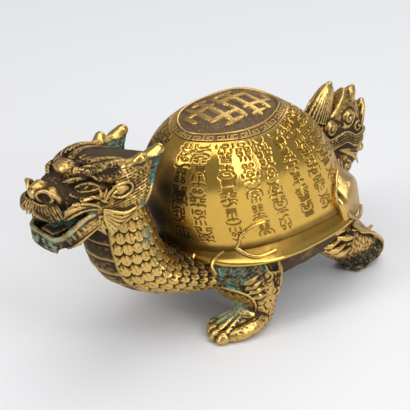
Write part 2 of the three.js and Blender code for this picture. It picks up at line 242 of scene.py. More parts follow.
def turns_along_rim(count):
    """Angles that split the shell's outline into equal lengths."""
    t = np.linspace(0, 2 * math.pi, 4001)
    x, y = outline(np.cos(t), np.sin(t), 4)
    s = np.concatenate([[0], np.cumsum(np.hypot(np.diff(x), np.diff(y)))])
    return np.interp(np.linspace(0, s[-1], count + 1), s, t)


# clay: lumps, strands and fusing


def shape_of(bm):
    """Vertices and triangles of a bmesh, which is freed."""
    bmesh.ops.triangulate(bm, faces=bm.faces)
    bmesh.ops.recalc_face_normals(bm, faces=bm.faces)
    bm.verts.index_update()
    co = np.array([v.co[:] for v in bm.verts])
    faces = np.array([[v.index for v in f.verts] for f in bm.faces])
    bm.free()
    return co, faces


def evaluated(mesh, kind, **settings):
    """The mesh that one modifier makes of a mesh, which is removed."""
    loose = bpy.data.objects.new(mesh.name, mesh)
    bpy.context.scene.collection.objects.link(loose)
    modifier = loose.modifiers.new(kind.title(), kind)
    for name, value in settings.items():
        setattr(modifier, name, value)
    made = bpy.data.meshes.new_from_object(loose.evaluated_get(bpy.context.evaluated_depsgraph_get()))
    bpy.data.objects.remove(loose)
    bpy.data.meshes.remove(mesh)
    return made


def pellet():
    """A round ball of radius one."""
    bm = bmesh.new()
    bmesh.ops.create_icosphere(bm, subdivisions=4, radius=1)
    return shape_of(bm)


def rod(sides, steps):
    """A closed rod of radius one, cut into steps along its length."""
    bm = bmesh.new()
    bmesh.ops.create_cone(bm, cap_ends=True, segments=sides, radius1=1, radius2=1, depth=1)
    long_edges = [e for e in bm.edges if abs(e.verts[0].co.z - e.verts[1].co.z) > 0.5]
    bmesh.ops.subdivide_edges(bm, edges=long_edges, cuts=steps - 2)
    return shape_of(bm)


class Clay:
    """Closed lumps and strands in millimetres, waiting to be fused into one skin."""

    stock = {}

    def __init__(self):
        self.parts = []

    def made(self, key, make, *sizes):
        """A stock shape, made once."""
        if key not in self.stock:
            self.stock[key] = make(*sizes)
        return self.stock[key]

    def ball(self, centre, radii, turn=(0, 0, 0)):
        """An egg of three radii, turned about X, Y and Z in degrees."""
        co, faces = self.made("pellet", pellet)
        radii = np.broadcast_to(np.array(radii, float), 3)
        turned = np.array(
            Matrix.Rotation(math.radians(turn[2]), 3, "Z")
            @ Matrix.Rotation(math.radians(turn[1]), 3, "Y")
            @ Matrix.Rotation(math.radians(turn[0]), 3, "X")
        )
        self.parts.append((co * radii @ turned.T + np.array(centre, float), faces))

    def strand(self, rows, steps=None, sides=10, flat=None):
        """A closed strand through rows of x, y, z, radius, or x, y, z, half width, half thickness with flat,
        the direction that the thickness lies in."""
        steps = steps or 4 * len(rows)
        path = through(rows, steps)
        co, faces = self.made((sides, steps), rod, sides, steps)
        at = path[:, :3]
        along = unit(np.gradient(at, axis=0))
        if flat is None:
            rise = np.zeros_like(along)
            first = np.eye(3)[np.abs(along[0]).argmin()]
            for k in range(steps):
                first = first - along[k] * (first @ along[k])
                first = first / np.linalg.norm(first)
                rise[k] = first
        else:
            rise = np.array(flat, float) - along * (along @ np.array(flat, float))[:, None]
            rise = unit(rise)
        side = np.cross(along, rise)
        k = np.rint((co[:, 2] + 0.5) * (steps - 1)).astype(int)
        wide = np.maximum(path[k, 3], 0.02)
        thick = np.maximum(path[k, -1], 0.02)
        placed = at[k] + side[k] * (co[:, 0] * wide)[:, None] + rise[k] * (co[:, 1] * thick)[:, None]
        self.parts.append((placed, faces))

    def curl(self, centre, flat, start, radius, turns, thick, grow=0.25, rise=0.6, hand=1, steps=None):
        """A spiral strand in the plane across flat: it starts at the angle start, radius from the centre,
        and winds in, hand 1 or -1 telling which way."""
        n = unit(np.array(flat, float))
        u = unit(np.cross((0, 0, 1), n) if abs(n[2]) < 0.9 else np.cross((0, 1, 0), n))
        v = np.cross(n, u)
        rows = []
        steps = steps or int(10 + 10 * turns)
        for k in range(steps):
            f = k / (steps - 1)
            a = math.radians(start) + hand * 2 * math.pi * turns * f
            r = radius * (1 - f) ** 0.85 + grow * thick * f
            p = np.array(centre) + (u * math.cos(a) + v * math.sin(a)) * r + n * rise * f
            rows.append([*p, thick * (0.65 + 0.35 * math.sin(math.pi * min(1, 0.25 + f)))])
        self.strand(rows, steps=2 * steps, sides=8)
        self.ball(np.array(centre) + n * rise, thick * 0.9)

    def mirrored(self):
        """The same clay on both sides."""
        self.parts += self.flipped().parts
        return self

    def flipped(self, back=0):
        """A copy on the other side, moved back."""
        other = Clay()
        other.parts = [(co * (-1, 1, 1) + (0, back, 0), faces[:, ::-1]) for co, faces in self.parts]
        return other

    def mesh(self, name):
        """All parts in one loose mesh."""
        start, verts, faces = 0, [], []
        for co, tri in self.parts:
            verts.append(co)
            faces.append(tri + start)
            start += len(co)
        verts, faces = np.concatenate(verts), np.concatenate(faces)
        mesh = bpy.data.meshes.new(name)
        mesh.vertices.add(len(verts))
        mesh.vertices.foreach_set("co", verts.astype(np.float32).ravel())
        mesh.loops.add(faces.size)
        mesh.loops.foreach_set("vertex_index", faces.astype(np.int32).ravel())
        mesh.polygons.add(len(faces))
        mesh.polygons.foreach_set("loop_start", np.arange(0, faces.size, 3, dtype=np.int32))
        mesh.update(calc_edges=True)
        return mesh

    def fused(self, name, voxel, ease=3):
        """One closed skin round all the parts, as a mesh in millimetres."""
        skin = Skin(evaluated(self.mesh(name), "REMESH", mode="VOXEL", voxel_size=voxel))
        skin.co = skin.eased(skin.co, ease)
        return skin


class Skin:
    """The points of a mesh in millimetres, with what is needed to ease, raise, colour with stains and paint
    shade on them.
    """

    def __init__(self, mesh):
        self.mesh = mesh
        self.co = np.zeros(len(mesh.vertices) * 3, np.float32)
        mesh.vertices.foreach_get("co", self.co)
        self.co = self.co.reshape(-1, 3).astype(float)
        pairs = np.zeros(len(mesh.edges) * 2, np.int32)
        mesh.edges.foreach_get("vertices", pairs)
        self.pairs = pairs.reshape(-1, 2)
        self.degree = np.maximum(np.bincount(self.pairs.ravel(), minlength=len(self.co)), 1)

    def eased(self, values, times, pull=0.5):
        """Values, one number or row a point, averaged with their neighbours."""
        values = np.array(values, float)
        flat = values.reshape(len(self.co), -1)
        a, b = self.pairs[:, 0], self.pairs[:, 1]
        for _ in range(times):
            for k in range(flat.shape[1]):
                column = flat[:, k]
                total = np.bincount(a, column[b], len(column)) + np.bincount(b, column[a], len(column))
                flat[:, k] = column + pull * (total / self.degree - column)
        return flat.reshape(values.shape)

    def normals(self):
        """Outward directions at the points."""
        self.mesh.vertices.foreach_set("co", self.co.astype(np.float32).ravel())
        self.mesh.update()
        n = np.zeros(len(self.co) * 3, np.float32)
        self.mesh.vertex_normals.foreach_get("vector", n)
        return n.reshape(-1, 3).astype(float)

    def raised(self, heights):
        """Moves the points out by their heights."""
        self.co = self.co + self.normals() * np.asarray(heights)[:, None]

    def relief(self, fine=10, broad=45):
        """0.5 on even skin, towards 0 in hollows and towards 1 on ridges."""
        n = self.normals()
        small = self.eased(self.co, fine)
        wide = self.eased(small, broad)
        # The broad term darkens deep recesses and the gaps between fused parts as painted shade; the fine
        # term follows grooves and ridges, where patina and wear lie.
        near = ((self.co - small) * n).sum(1)
        far = ((self.co - wide) * n).sum(1)
        return np.clip(0.5 + 0.26 * np.tanh(near / 0.10) + 0.26 * np.tanh(far / 0.32), 0, 1)

    def attribute(self, name, values):
        """Stores one number a point."""
        layer = self.mesh.attributes.new(name, "FLOAT", "POINT")
        layer.data.foreach_set("value", np.asarray(values, np.float32))

    def stain_and_shade(self, green=0, soot_and_shade=0, matte=0, pale=0):
        """Stores how far verdigris, sooty patina with painted shade, matte tarnish and pale bloom cover each
        point.
        """
        rows = np.zeros((len(self.co), 4), np.float32)
        for k, value in enumerate((green, soot_and_shade, matte, pale)):
            rows[:, k] = np.clip(value, 0, 1)
        layer = self.mesh.attributes.new("stain_and_shade", "FLOAT_COLOR", "POINT")
        layer.data.foreach_set("color", rows.ravel())

    def placed(self, name, material):
        """Puts the skin in its place in metres as a finished piece of the figure."""
        co = (self.co + (0, SETBACK, 0)) * MM
        self.mesh.vertices.foreach_set("co", co.astype(np.float32).ravel())
        self.mesh.name = name
        self.mesh.materials.clear()
        self.mesh.materials.append(material)
        self.mesh.update()
        self.mesh.shade_smooth()
        piece = bpy.data.objects.new(name, self.mesh)
        bpy.context.scene.collection.objects.link(piece)
        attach(piece, "root")
        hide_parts(NODE)
        return piece


def wrapped(columns, rows, form, closed=True):
    """A grid bent into a shape by form(u, v), which gives points for whole-number columns and rows."""
    bm = bmesh.new()
    bmesh.ops.create_grid(bm, x_segments=columns, y_segments=rows, size=0.5)
    mesh = bpy.data.meshes.new("grid")
    bm.to_mesh(mesh)
    bm.free()
    co = np.zeros(len(mesh.vertices) * 3, np.float32)
    mesh.vertices.foreach_get("co", co)
    co = co.reshape(-1, 3)
    u = np.rint((co[:, 0] + 0.5) * columns).astype(int)
    v = np.rint((co[:, 1] + 0.5) * rows).astype(int)
    points = form(u, v)
    mesh.vertices.foreach_set("co", points.astype(np.float32).ravel())
    if closed:
        bm = bmesh.new()
        bm.from_mesh(mesh)
        keep = bm.verts.layers.int.new("place")
        bm.verts.ensure_lookup_table()
        for vert, place in zip(bm.verts, range(len(points))):
            vert[keep] = place
        seam = [vert for vert, column in zip(bm.verts, u) if column in (0, columns)]
        bmesh.ops.remove_doubles(bm, verts=seam, dist=1e-4)
        place = np.array([vert[keep] for vert in bm.verts])
        bm.verts.layers.int.remove(keep)
        bm.to_mesh(mesh)
        bm.free()
        u, v = u[place] % columns, v[place]
    mesh.update()
    return Skin(mesh), u, v


# shell surfaces


def polyline(*points):
    """Segments through the points."""
    return [(*a, *b) for a, b in zip(points, points[1:])]


def bow(cx, cy, rx, ry, start, end, pieces=7):
    """Segments of an arc, its angles in degrees."""
    at = [math.radians(start + (end - start) * k / pieces) for k in range(pieces + 1)]
    return polyline(*[(cx + rx * math.cos(a), cy + ry * math.sin(a)) for a in at])


def stroke_group(rng):
    """A made-up group of strokes in a square from -1 to 1; it is no letter."""
    kinds = rng.sample(["bar", "roof", "cup", "posts", "ring", "hooks", "wave", "rungs", "pair"],
                       rng.choice([3, 4, 4]))
    step = 2.0 / len(kinds)
    lines = []
    for k, kind in enumerate(kinds):
        top, low = 1 - step * (k + 0.1), 1 - step * (k + 0.86)
        mid, w = (top + low) / 2, rng.uniform(0.6, 1.0)
        if kind == "bar":
            lines += polyline((-w, mid - 0.12), (-w * 0.7, mid), (w * 0.7, mid), (w, mid - 0.12))
            lines += polyline((0, top), (0, low))
        elif kind == "roof":
            lines += bow(0, low, w, top - low, 0, 180)
            lines += polyline((-w * 0.35, mid - 0.1), (w * 0.35, mid - 0.1))
        elif kind == "cup":
            lines += bow(0, top, w, top - low, 180, 360)
        elif kind == "posts":
            for x in (-w * 0.7, 0, w * 0.7):
                lines += polyline((x, top), (x * 1.15, low))
        elif kind == "ring":
            lines += bow(0, mid, 0.42, step * 0.36, 0, 360, 9)
            lines += polyline((-w, top), (-w, low)) + polyline((w, top), (w, low))
        elif kind == "hooks":
            for side in (-1, 1):
                near = side * w * 0.35
                lines += polyline((side * w, top), (near, top), (near, low), (side * w * 0.9, low + 0.1))
        elif kind == "wave":
            lines += bow(-w * 0.5, mid, w * 0.5, step * 0.3, 180, 0, 5)
            lines += bow(w * 0.5, mid, w * 0.5, step * 0.3, 180, 360, 5)
        elif kind == "rungs":
            for y in (top, mid, low):
                lines += polyline((-w * 0.75, y), (w * 0.75, y))
            lines += polyline((-w * 0.75, top), (-w * 0.75, low))
        else:
            for side in (-1, 1):
                lines += bow(side * w * 0.5, mid, w * 0.3, step * 0.34, 0, 360, 8)
    return lines


def fret_lines():
    """One squared spiral of the key border in a unit square, for a raised line."""
    return polyline((0.02, 0.0), (0.02, 1.0), (0.82, 1.0), (0.82, 0.24), (0.26, 0.24), (0.26, 0.66),
                    (0.54, 0.66))


def emblem_height(x, y):
    """1 on the raised bars of the made-up lattice emblem and 0 on the ground between them. A bar has two
    ends and half its width, and half a turn brings the emblem back onto itself."""
    bars = [
        (-9.6, -11.8, 4.0, -11.8, 1.0), (-11.4, -6.0, 9.6, -6.0, 1.1), (-9.2, -0.4, 0, 0, 1.0),
        (-4.6, -16.6, 0.4, -16.6, 0.9), (-4.6, -16.8, -4.6, -3.4, 1.0), (4.4, -12.6, 4.4, 0.2, 1.05),
        (9.2, -9.6, 9.2, -1.4, 0.95), (-9.6, -9.2, -9.6, -3.0, 0.8),
    ]
    bars += [(-ax, -ay, -bx, -by, half) for ax, ay, bx, by, half in bars]
    points = np.stack([x, y], 1)
    height = np.zeros(len(x))
    for ax, ay, bx, by, half in bars:
        d = np.array([bx - ax, by - ay])
        t = np.clip(((points - (ax, ay)) @ d) / (d @ d), 0, 1)
        away = np.linalg.norm(points - (ax, ay) - t[:, None] * d, axis=1)
        half = half * (1 - 0.45 * np.abs(2 * t - 1) ** 4)
        height = np.maximum(height, 1 - ramp(half - 0.14, half + 0.16, away))
    return height


def closed_off(skin):
    """Fills the open ends of a skin with hidden faces, and turns all faces outwards."""
    skin.mesh.vertices.foreach_set("co", skin.co.astype(np.float32).ravel())
    bm = bmesh.new()
    bm.from_mesh(skin.mesh)
    bmesh.ops.holes_fill(bm, edges=[e for e in bm.edges if e.is_boundary], sides=0)
    bmesh.ops.recalc_face_normals(bm, faces=bm.faces)
    bm.to_mesh(skin.mesh)
    bm.free()
    skin.mesh.update()


def crown(settings):
    """The top of the dome: key border, oval ground and emblem."""
    turns = np.linspace(0, 2 * math.pi, 721)
    edge = rise_at_band(np.cos(turns), np.sin(turns))

    def form(u, v):
        a, b = u / CROWN_CELLS * 2 - 1, v / CROWN_CELLS * 2 - 1
        x, y = a * np.sqrt(1 - b * b / 2), b * np.sqrt(1 - a * a / 2)
        share = np.hypot(x, y)
        turn = np.arctan2(x, y) % (2 * math.pi)
        c, s = np.cos(turn), np.sin(turn)
        end = np.where(c < 0, DOME_FRONT_POWER, DOME_REAR_POWER)
        power = DOME_SIDE_POWER + (end - DOME_SIDE_POWER) * np.abs(c) ** 1.5
        outer = np.sin(np.interp(turn, turns, edge)) ** (2 / power)
        return dome(c, s, np.arcsin(np.clip((share * outer) ** (power / 2), 0, 1)))

    skin, _, _ = wrapped(CROWN_CELLS, CROWN_CELLS, form, closed=False)
    x, y = skin.co[:, 0], skin.co[:, 1]
    turn, out = band_place(x, y)
    mm_out = out * BAND_WIDTH

    ground = 1 - ramp(-0.75, -0.35, mm_out)
    emblem = emblem_height(x, y - OVAL_CENTRE_Y) * ground
    rough = (grain(skin.co, 0.42, 3) - 0.5) + 0.7 * (grain(skin.co, 0.85, 4) - 0.5)
    depth = settings.emblem_relief / MM
    between = ground * (1 - emblem)
    height = (0.26 * rough - depth) * between + 0.05 * rough * emblem
    height += 0.28 * np.exp(-((mm_out / 0.3) ** 2))

    units = settings.fret_units
    t = np.linspace(-math.pi, math.pi, 2001)
    mid = np.stack([(OVAL_HALF_WIDTH + 1.5) * np.sin(t), (OVAL_HALF_LENGTH + 1.5) * np.cos(t)], 1)
    s = np.concatenate([[0], np.cumsum(np.linalg.norm(np.diff(mid, axis=0), axis=1))])
    along = np.interp(turn, t, s) / s[-1] * units
    cell = np.floor(along)
    part = along - cell
    part = np.where(cell % 2 == 0, part, 1 - part)
    side = s[-1] / units
    inner, outer = 0.62, BAND_WIDTH - 0.55
    place = np.stack([part * side, (mm_out - inner)], 1)
    scaled = [(a * side, b * (outer - inner), c * side, d * (outer - inner)) for a, b, c, d in fret_lines()]
    band = ramp(0.2, 0.45, mm_out) * (1 - ramp(BAND_WIDTH - 0.4, BAND_WIDTH - 0.2, mm_out))
    away = np.full(len(x), 9.0)
    near = (mm_out > 0.1) & (mm_out < BAND_WIDTH)
    away[near] = line_distance(place[near], scaled)
    line = 1 - ramp(0.14, 0.36, away)
    height += band * (-settings.fret_relief / MM * (1 - line))
    height += 0.1 * np.exp(-(((mm_out - BAND_WIDTH + 0.22) / 0.16) ** 2))
    height -= 0.5 * ramp(BAND_WIDTH - 0.16, BAND_WIDTH, mm_out)
    skin.raised(height * np.sign(skin.normals()[:, 2].mean()))
    closed_off(skin)

    worn = 0.5 + 0.5 * np.clip(height / 0.3, -1, 0.6) + 0.22 * (emblem - 0.3) * ground
    worn = np.where(ground > 0.5, np.where(emblem > 0.5, 0.7, 0.2 + 0.5 * np.clip(rough, -0.2, 0.5)), worn)
    skin.attribute("relief", np.clip(skin.eased(worn, 1), 0, 1))
    soot_and_shade = 0.30 * between
    matte = 0.45 * ramp(-0.3, 0.4, mm_out) + 0.62 * between + 0.3 * ground * emblem + 0.2
    matte += 0.35 * ramp(4, 16, y)
    skin.stain_and_shade(0, soot_and_shade, matte)
    return skin


def marked_columns(co, turn, settings, rng):
    """Depth of the incised strokes over the grid of wall points."""
    across = np.linalg.norm(np.diff(co, axis=0, append=co[:1]), axis=2)
    down = np.cumsum(np.linalg.norm(np.diff(co, axis=1, prepend=co[:, :1]), axis=2), axis=1)
    away = np.full(co.shape[:2], 9.0)
    for left in COLUMN_TURNS:
        for angle in (left, -left):
            best = np.abs((turn - angle + 180) % 360 - 180).argmin()
            rows = (np.arange(-COLUMN_REACH, COLUMN_REACH + 1) + best) % len(co)
            x = np.cumsum(across[rows], axis=0)
            x = x - x[COLUMN_REACH]
            y = down[best]
            last = y[-1] - (LAST_MARK_GAP_FRONT if left > 90 else LAST_MARK_GAP_REAR)
            pitch = (last - FIRST_MARK_GAP) / settings.marks_per_column
            for k in range(settings.marks_per_column):
                if rng.random() < LOST_MARKS:
                    continue
                centre = FIRST_MARK_GAP + pitch * (k + 0.5)
                height = pitch * rng.uniform(0.42, 0.46)
                width = min(WIDEST_MARK, height * rng.uniform(0.92, 1.08))
                drift = rng.uniform(-0.4, 0.4)
                window = np.abs(y - centre) < height + 1.2
                place = np.stack(np.broadcast_arrays(x[:, window] - drift, centre - y[window]), -1)
                lines = [(a * width, b * height, c * width, d * height) for a, b, c, d in stroke_group(rng)]
                found = line_distance(place.reshape(-1, 2), lines).reshape(place.shape[:2])
                cells = np.ix_(rows, np.where(window)[0])
                away[cells] = np.minimum(away[cells], found)
    return away


def wall(settings):
    """The sides of the dome with their columns of incised strokes."""
    t = turns_along_rim(WALL_COLUMNS)
    c, s = np.cos(t), np.sin(t)
    low = rise_at_band(c, s)
    fine = np.linspace(0, 1, 240)
    rise = low[:, None] + (math.pi / 2 - low)[:, None] * fine[None, :]
    track = dome(c[:, None], s[:, None], rise)
    length = np.cumsum(np.linalg.norm(np.diff(track, axis=1, prepend=track[:, :1]), axis=2), axis=1)
    grid = np.zeros((WALL_COLUMNS + 1, WALL_ROWS + 1, 3))
    for k in range(WALL_COLUMNS + 1):
        even = np.linspace(0, length[k, -1], WALL_ROWS + 1)
        for axis in range(3):
            grid[k, :, axis] = np.interp(even, length[k], track[k, :, axis])
    skin, u, v = wrapped(WALL_COLUMNS, WALL_ROWS, lambda u, v: grid[u, v])
    away = marked_columns(grid[:-1], np.degrees(t[:-1]), settings, random.Random(COLUMN_SEED))[u, v]
    w = settings.mark_width / MM / 2
    lip = 0.05 * np.exp(-(((away - 2.4 * w) / w) ** 2))
    lines = lip - settings.mark_depth / MM * np.exp(-((away / w) ** 2))
    uneven = 0.16 * (grain(skin.co, 9.0, 5) - 0.5) + 0.05 * (grain(skin.co, 2.6, 6) - 0.5)
    height = lines + uneven
    height = height * ramp(0, 3, v) * ramp(0, 4, WALL_ROWS - v)
    height = height - 0.5 * (v == 0)
    closed_off(skin)
    centre = np.array([0, RIM_CENTRE_Y, RIM_HEIGHT])
    n = skin.normals()
    if ((skin.co - centre) * n).sum() < 0:
        n = -n
    skin.co = skin.co + n * height[:, None]
    skin.co[v == WALL_ROWS, 2] -= 1.6
    skin.attribute("relief", np.clip(0.56 + lines, 0, 1))
    x, y, z = skin.co.T
    # Painted shade, partly sooty patina: the front of the wall behind the neck and mane is blackened, and it
    # darkens towards the dome's foot, the crease above the skirt; the incised strokes keep a thin dark
    # patina.
    soot_and_shade = 0.95 * spots(skin.co, (-3, -40, 45, 13), (5, -41.5, 58, 9), (-11, -38, 62, 13), (9, -38, 38, 7))
    soot_and_shade = np.maximum(soot_and_shade, 0.5 * ramp(38.4, 35.5, z) + 0.12 * np.exp(-((away / 0.6) ** 2)))
    matte = 0.75 * ramp(14, 34, y) + 0.6 * ramp(6, 1, v) * ramp(-30, -10, y)
    matte = np.maximum(matte, 0.55 * ramp(62, 74, z) * ramp(0, -25, x))
    matte = np.maximum(matte, 0.5 * ramp(-8, -26, x))
    green = 0.4 * spots(skin.co, (2, -40, 40, 5), (4, -41, 47, 3))
    skin.stain_and_shade(green, soot_and_shade, matte)
    return skin


def skirt():
    """The flared skirt and rolled rim under the dome."""
    # Share of the way from the rim in to the dome's foot, and height
    profile = through([(1.10, 37.2), (1.0, 35.7), (0.84, 34.2), (0.62, 32.8), (0.38, 31.6), (0.18, 30.95),
                       (0.03, 30.45), (-0.04, 29.8), (0.0, 29.1), (0.15, 28.5), (0.5, 28.0), (1.1, 27.6),
                       (1.6, 28.4), (1.6, 34.0), (1.3, 37.0), (1.10, 37.2)], SKIRT_ROWS)
    t = turns_along_rim(SKIRT_COLUMNS)

    def form(u, v):
        c, s = np.cos(t[u]), np.sin(t[u])
        rim_x, rim_y = outline(c, s, 0)
        x, y = foot(c, s)
        share = np.minimum(profile[v, 0], 1.0)
        extra = np.where(profile[v, 0] > 0.99, (profile[v, 0] - 1.0) * 4.0, 0)
        inward = unit(np.stack([-x, -y], -1))
        return np.stack([
            rim_x + (x - rim_x) * share + inward[:, 0] * extra,
            rim_y + (y + FOOT_CENTRE_Y - rim_y) * share + inward[:, 1] * extra,
            profile[v, 1]], 1)

    skin, _, _ = wrapped(SKIRT_COLUMNS, SKIRT_ROWS - 1, form)
    bm = bmesh.new()
    skin.mesh.vertices.foreach_set("co", skin.co.astype(np.float32).ravel())
    bm.from_mesh(skin.mesh)
    bmesh.ops.remove_doubles(bm, verts=[vert for vert in bm.verts if vert.is_boundary], dist=1e-3)
    bmesh.ops.recalc_face_normals(bm, faces=bm.faces)
    bm.to_mesh(skin.mesh)
    bm.free()
    skin = Skin(skin.mesh)
    x, y, z = skin.co.T
    skin.raised(0.22 * (grain(skin.co, 7.0, 12) - 0.5) + 0.06 * (grain(skin.co, 1.6, 13) - 0.5))
    edge = np.exp(-(((z - 30.3) / 0.8) ** 2)) * (np.hypot(x, y) > 20)
    # Painted shade: the crease at the dome's foot, the underside of the rolled rim and the front behind the
    # neck are darkened, over an even sooty tone, while the rim edge is kept bright.
    skin.attribute("relief", np.clip(0.42 + 0.5 * edge - 0.35 * ramp(33.8, 35.4, z), 0, 1))
    soot_and_shade = 0.22 + 0.3 * ramp(33.6, 35.2, z) + 0.5 * ramp(29.0, 28.2, z) - 0.22 * edge
    soot_and_shade = np.maximum(soot_and_shade, 0.8 * spots(skin.co, (-8, -36, 31, 9)))
    skin.stain_and_shade(0.3 * spots(skin.co, (-6, -36, 30, 6)), soot_and_shade, 0.55 * ramp(-4, -20, x) + 0.4 * ramp(26, 40, y))
    return skin


def scrolls():
    """Thin scroll lines over the shell, the petal border at its rear, and the scrolls of the chest."""
    half = Clay()
    shoulder = [(27.5, -14.3, 44.9), (26.5, -18.1, 44.3), (25.2, -21.5, 42.5), (24.1, -23.3, 40.5),
                (23.1, -23.2, 37.4), (22.4, -23.4, 35.2), (23.6, -22.6, 33.9), (26, -20.8, 32.5),
                (28.2, -18.2, 31.8), (29.4, -14.8, 32.2), (30.2, -10.7, 32.8)]
    shoulder_drop = [(22.6, -23, 35.2), (20.2, -25.3, 34.8), (18.6, -27.8, 33.2), (17.8, -30, 31.3),
                     (18.2, -32, 29.6), (19.8, -32.8, 28.2), (21.4, -32.4, 26.6)]
    front_hem = [(0, -36.4, 30.2), (5.1, -36.2, 30.2), (9.3, -35.5, 30), (11.6, -36, 28),
                 (13.2, -37.4, 25.6), (15.8, -37.6, 23.4)]
    front_twig = [(10.7, -31.7, 33), (10.6, -33.4, 31.3), (11.1, -35.1, 30.2)]
    flank = [(25, 25.9, 50.4), (26.9, 23, 46.9), (27.9, 21.9, 42.7), (28.4, 23.4, 39), (29.6, 25.4, 35.6),
             (31, 27.6, 32.4), (31.6, 30.4, 30.4), (30.6, 33.6, 30.4), (29.2, 35.4, 33.6)]
    flank_twig = [(29.6, 25.4, 35.6), (28.8, 28, 40), (27.4, 29.8, 45)]
    flank_drop = [(30.9, 31.4, 29.6), (29.6, 31.4, 26.4), (29, 33.7, 24.4), (28.6, 36.8, 21.6),
                  (28, 41, 19.6), (27.4, 44.5, 19.8)]
    for line in (shoulder, shoulder_drop, front_hem, front_twig, flank, flank_twig, flank_drop):
        rows = []
        for k, p in enumerate(line):
            out = np.array([p[0], (p[1] - 4) * 0.7, 0]) / math.hypot(p[0], (p[1] - 4) * 0.7)
            rows.append((*(np.array(p) + out * 0.3),
                         0.6 + 0.34 * math.sin(math.pi * (k + 0.6) / (len(line) + 0.2))))
        half.strand(rows, 14 * len(line), 8)
    # Rear border: a smooth bulge from the wall down to the rim, with a raised edge
    turns = np.arange(66, -1, -2)
    tops = np.interp(turns, [0, 8, 20, 32, 44, 52, 60, 66], [45, 42, 41.5, 45.5, 49, 49.5, 44, 38])
    rises = np.linspace(0.2, 1.5, 200)
    border = []
    for turn, top in zip(turns, tops):
        c, s = math.cos(math.radians(turn)), math.sin(math.radians(turn))
        curve = dome(np.full(200, c), np.full(200, s), rises)
        high = curve[np.abs(curve[:, 2] - top).argmin()]
        low = np.array([*outline(c, s, 1.5), 31.2])
        inward = np.array([-high[0], 8 - high[1], 0]) / math.hypot(high[0], high[1] - 8)
        share = ramp(70, 52, turn)
        middle = high * 0.5 + low * 0.5 - inward * (0.2 + 1.1 * share) + (0, 0, 0.8)
        under = high * 0.8 + low * 0.2 - inward * 0.2 * share
        half.strand([(*(high + inward * 1.1), 1.3), (*under, 1.7), (*middle, 2.1), (*low, 1.5)], 14, 12)
        border.append((*(high - inward * 0.15), 0.42))
    half.strand(border, 80, 8)
    # Chest: a rounded pad under the rim with rows of curls
    half.strand([(0, -37, 24.5, 7.5, 5.6), (8, -35.6, 23.6, 7, 5.6), (14, -32.4, 23, 6, 5.2),
                 (17, -28, 23, 4, 4.6)], 20, 18, flat=(0, 0, 1))
    curls = [(10.6, -42.6, 22.4, 1.7), (13.4, -40.4, 19.6, 1.6), (15.8, -38.4, 22.2, 1.8),
             (12.2, -41.4, 26.0, 1.5), (17.6, -36.0, 25.4, 1.6), (18.0, -35.2, 21.4, 1.5),
             (6, -43.4, 25.6, 1.6), (2, -43.8, 26, 1.5), (8.4, -41.2, 27.4, 1.4), (14.6, -38, 27.2, 1.4)]
    for k, (x, y, z, r) in enumerate(curls):
        half.ball((x, y + 0.8, z), (r, r * 0.8, r))
        half.curl((x, y, z), (0.45, -0.85, 0.1), 40 * k, r, 1.2, 0.36, rise=0.5, hand=1 if k % 2 else -1)
    for k in range(6):
        f = k / 5
        half.strand([(4 + 12 * f, -43 + 6 * f, 18.6, 0.3), (5.2 + 12 * f, -42.2 + 6 * f, 22, 0.5),
                     (7.4 + 11 * f, -40.6 + 6 * f, 25, 0.3)], 12, 8)
    skin = half.mirrored().fused("scrolls", SCROLL_VOXEL, 1)
    x, y, z = skin.co.T
    rear = ramp(16, 22, y)
    skin.raised(0.08 * (grain(skin.co, 0.9, 91) - 0.5) * (1 - rear))
    skin.attribute("relief", np.clip(skin.relief(7, 36) + 0.10 * rear, 0, 1))
    # Painted shade: the chest under the front of the rim is darkened; the rear border darkens a little
    # towards the rim.
    chest = ramp(29.5, 28, z) * (1 - rear)
    soot_and_shade = 0.5 * chest + 0.2 * rear * ramp(36, 30, z)
    skin.stain_and_shade(0.3 * chest * ramp(0.44, 0.6, grain(skin.co, 4.0, 92)), soot_and_shade, 0.8 * rear * ramp(22, 30, y))
    return skin


# belly, neck and legs


NECK = [(0, -8, 22, 21, 7.2), (0, -20, 22, 21, 7.4), (0, -31, 22.8, 20.4, 7), (0, -41.6, 25.7, 18.8, 7.5),
        (0, -51, 30.6, 16.8, 9.6), (0, -57.4, 38, 14.8, 11.9), (0, -60.9, 48, 13.2, 12),
        (0, -62.4, 57, 11.8, 11.4), (0, -61.9, 66, 10.6, 9.8), (0, -60, 72, 9.4, 8)]


def belly():
    """The underside between the legs, with its shields, and the strip of flank under the rim."""
    profile = through([(12, 32.5), (5, 31), (3.4, 29), (3.2, 25.5), (5.2, 20.5), (9.5, 16.2), (16, 13.6),
                       (24, 13.0)], BELLY_ROWS)
    t = turns_along_rim(BELLY_COLUMNS)

    def form(u, v):
        x, y = outline(np.cos(t[u]), np.sin(t[u]), profile[v, 0])
        return np.stack([x, y, profile[v, 1]], 1)

    skin, _, _ = wrapped(BELLY_COLUMNS, BELLY_ROWS - 1, form)
    closed_off(skin)
    x, y, z = skin.co.T
    seams = np.minimum(np.abs((y + 32) % 13.0 - 6.5), np.abs(x))
    height = -0.55 * np.exp(-((seams / 0.5) ** 2)) * ramp(19, 15, z)
    height += 0.5 * (grain(skin.co, 3.4, 21) - 0.5) + 0.22 * (grain(skin.co, 1.2, 22) - 0.5)
    skin.raised(height)
    skin.attribute("relief", np.clip(0.5 + height * 0.5, 0, 1))
    # Painted shade under the shell: darker towards the bottom, over an even sooty tone.
    skin.stain_and_shade(0.3 * spots(skin.co, (20, -30, 22, 9), (-20, -30, 22, 9)), 0.45 + 0.4 * ramp(22, 14, z), 0.5)
    return skin


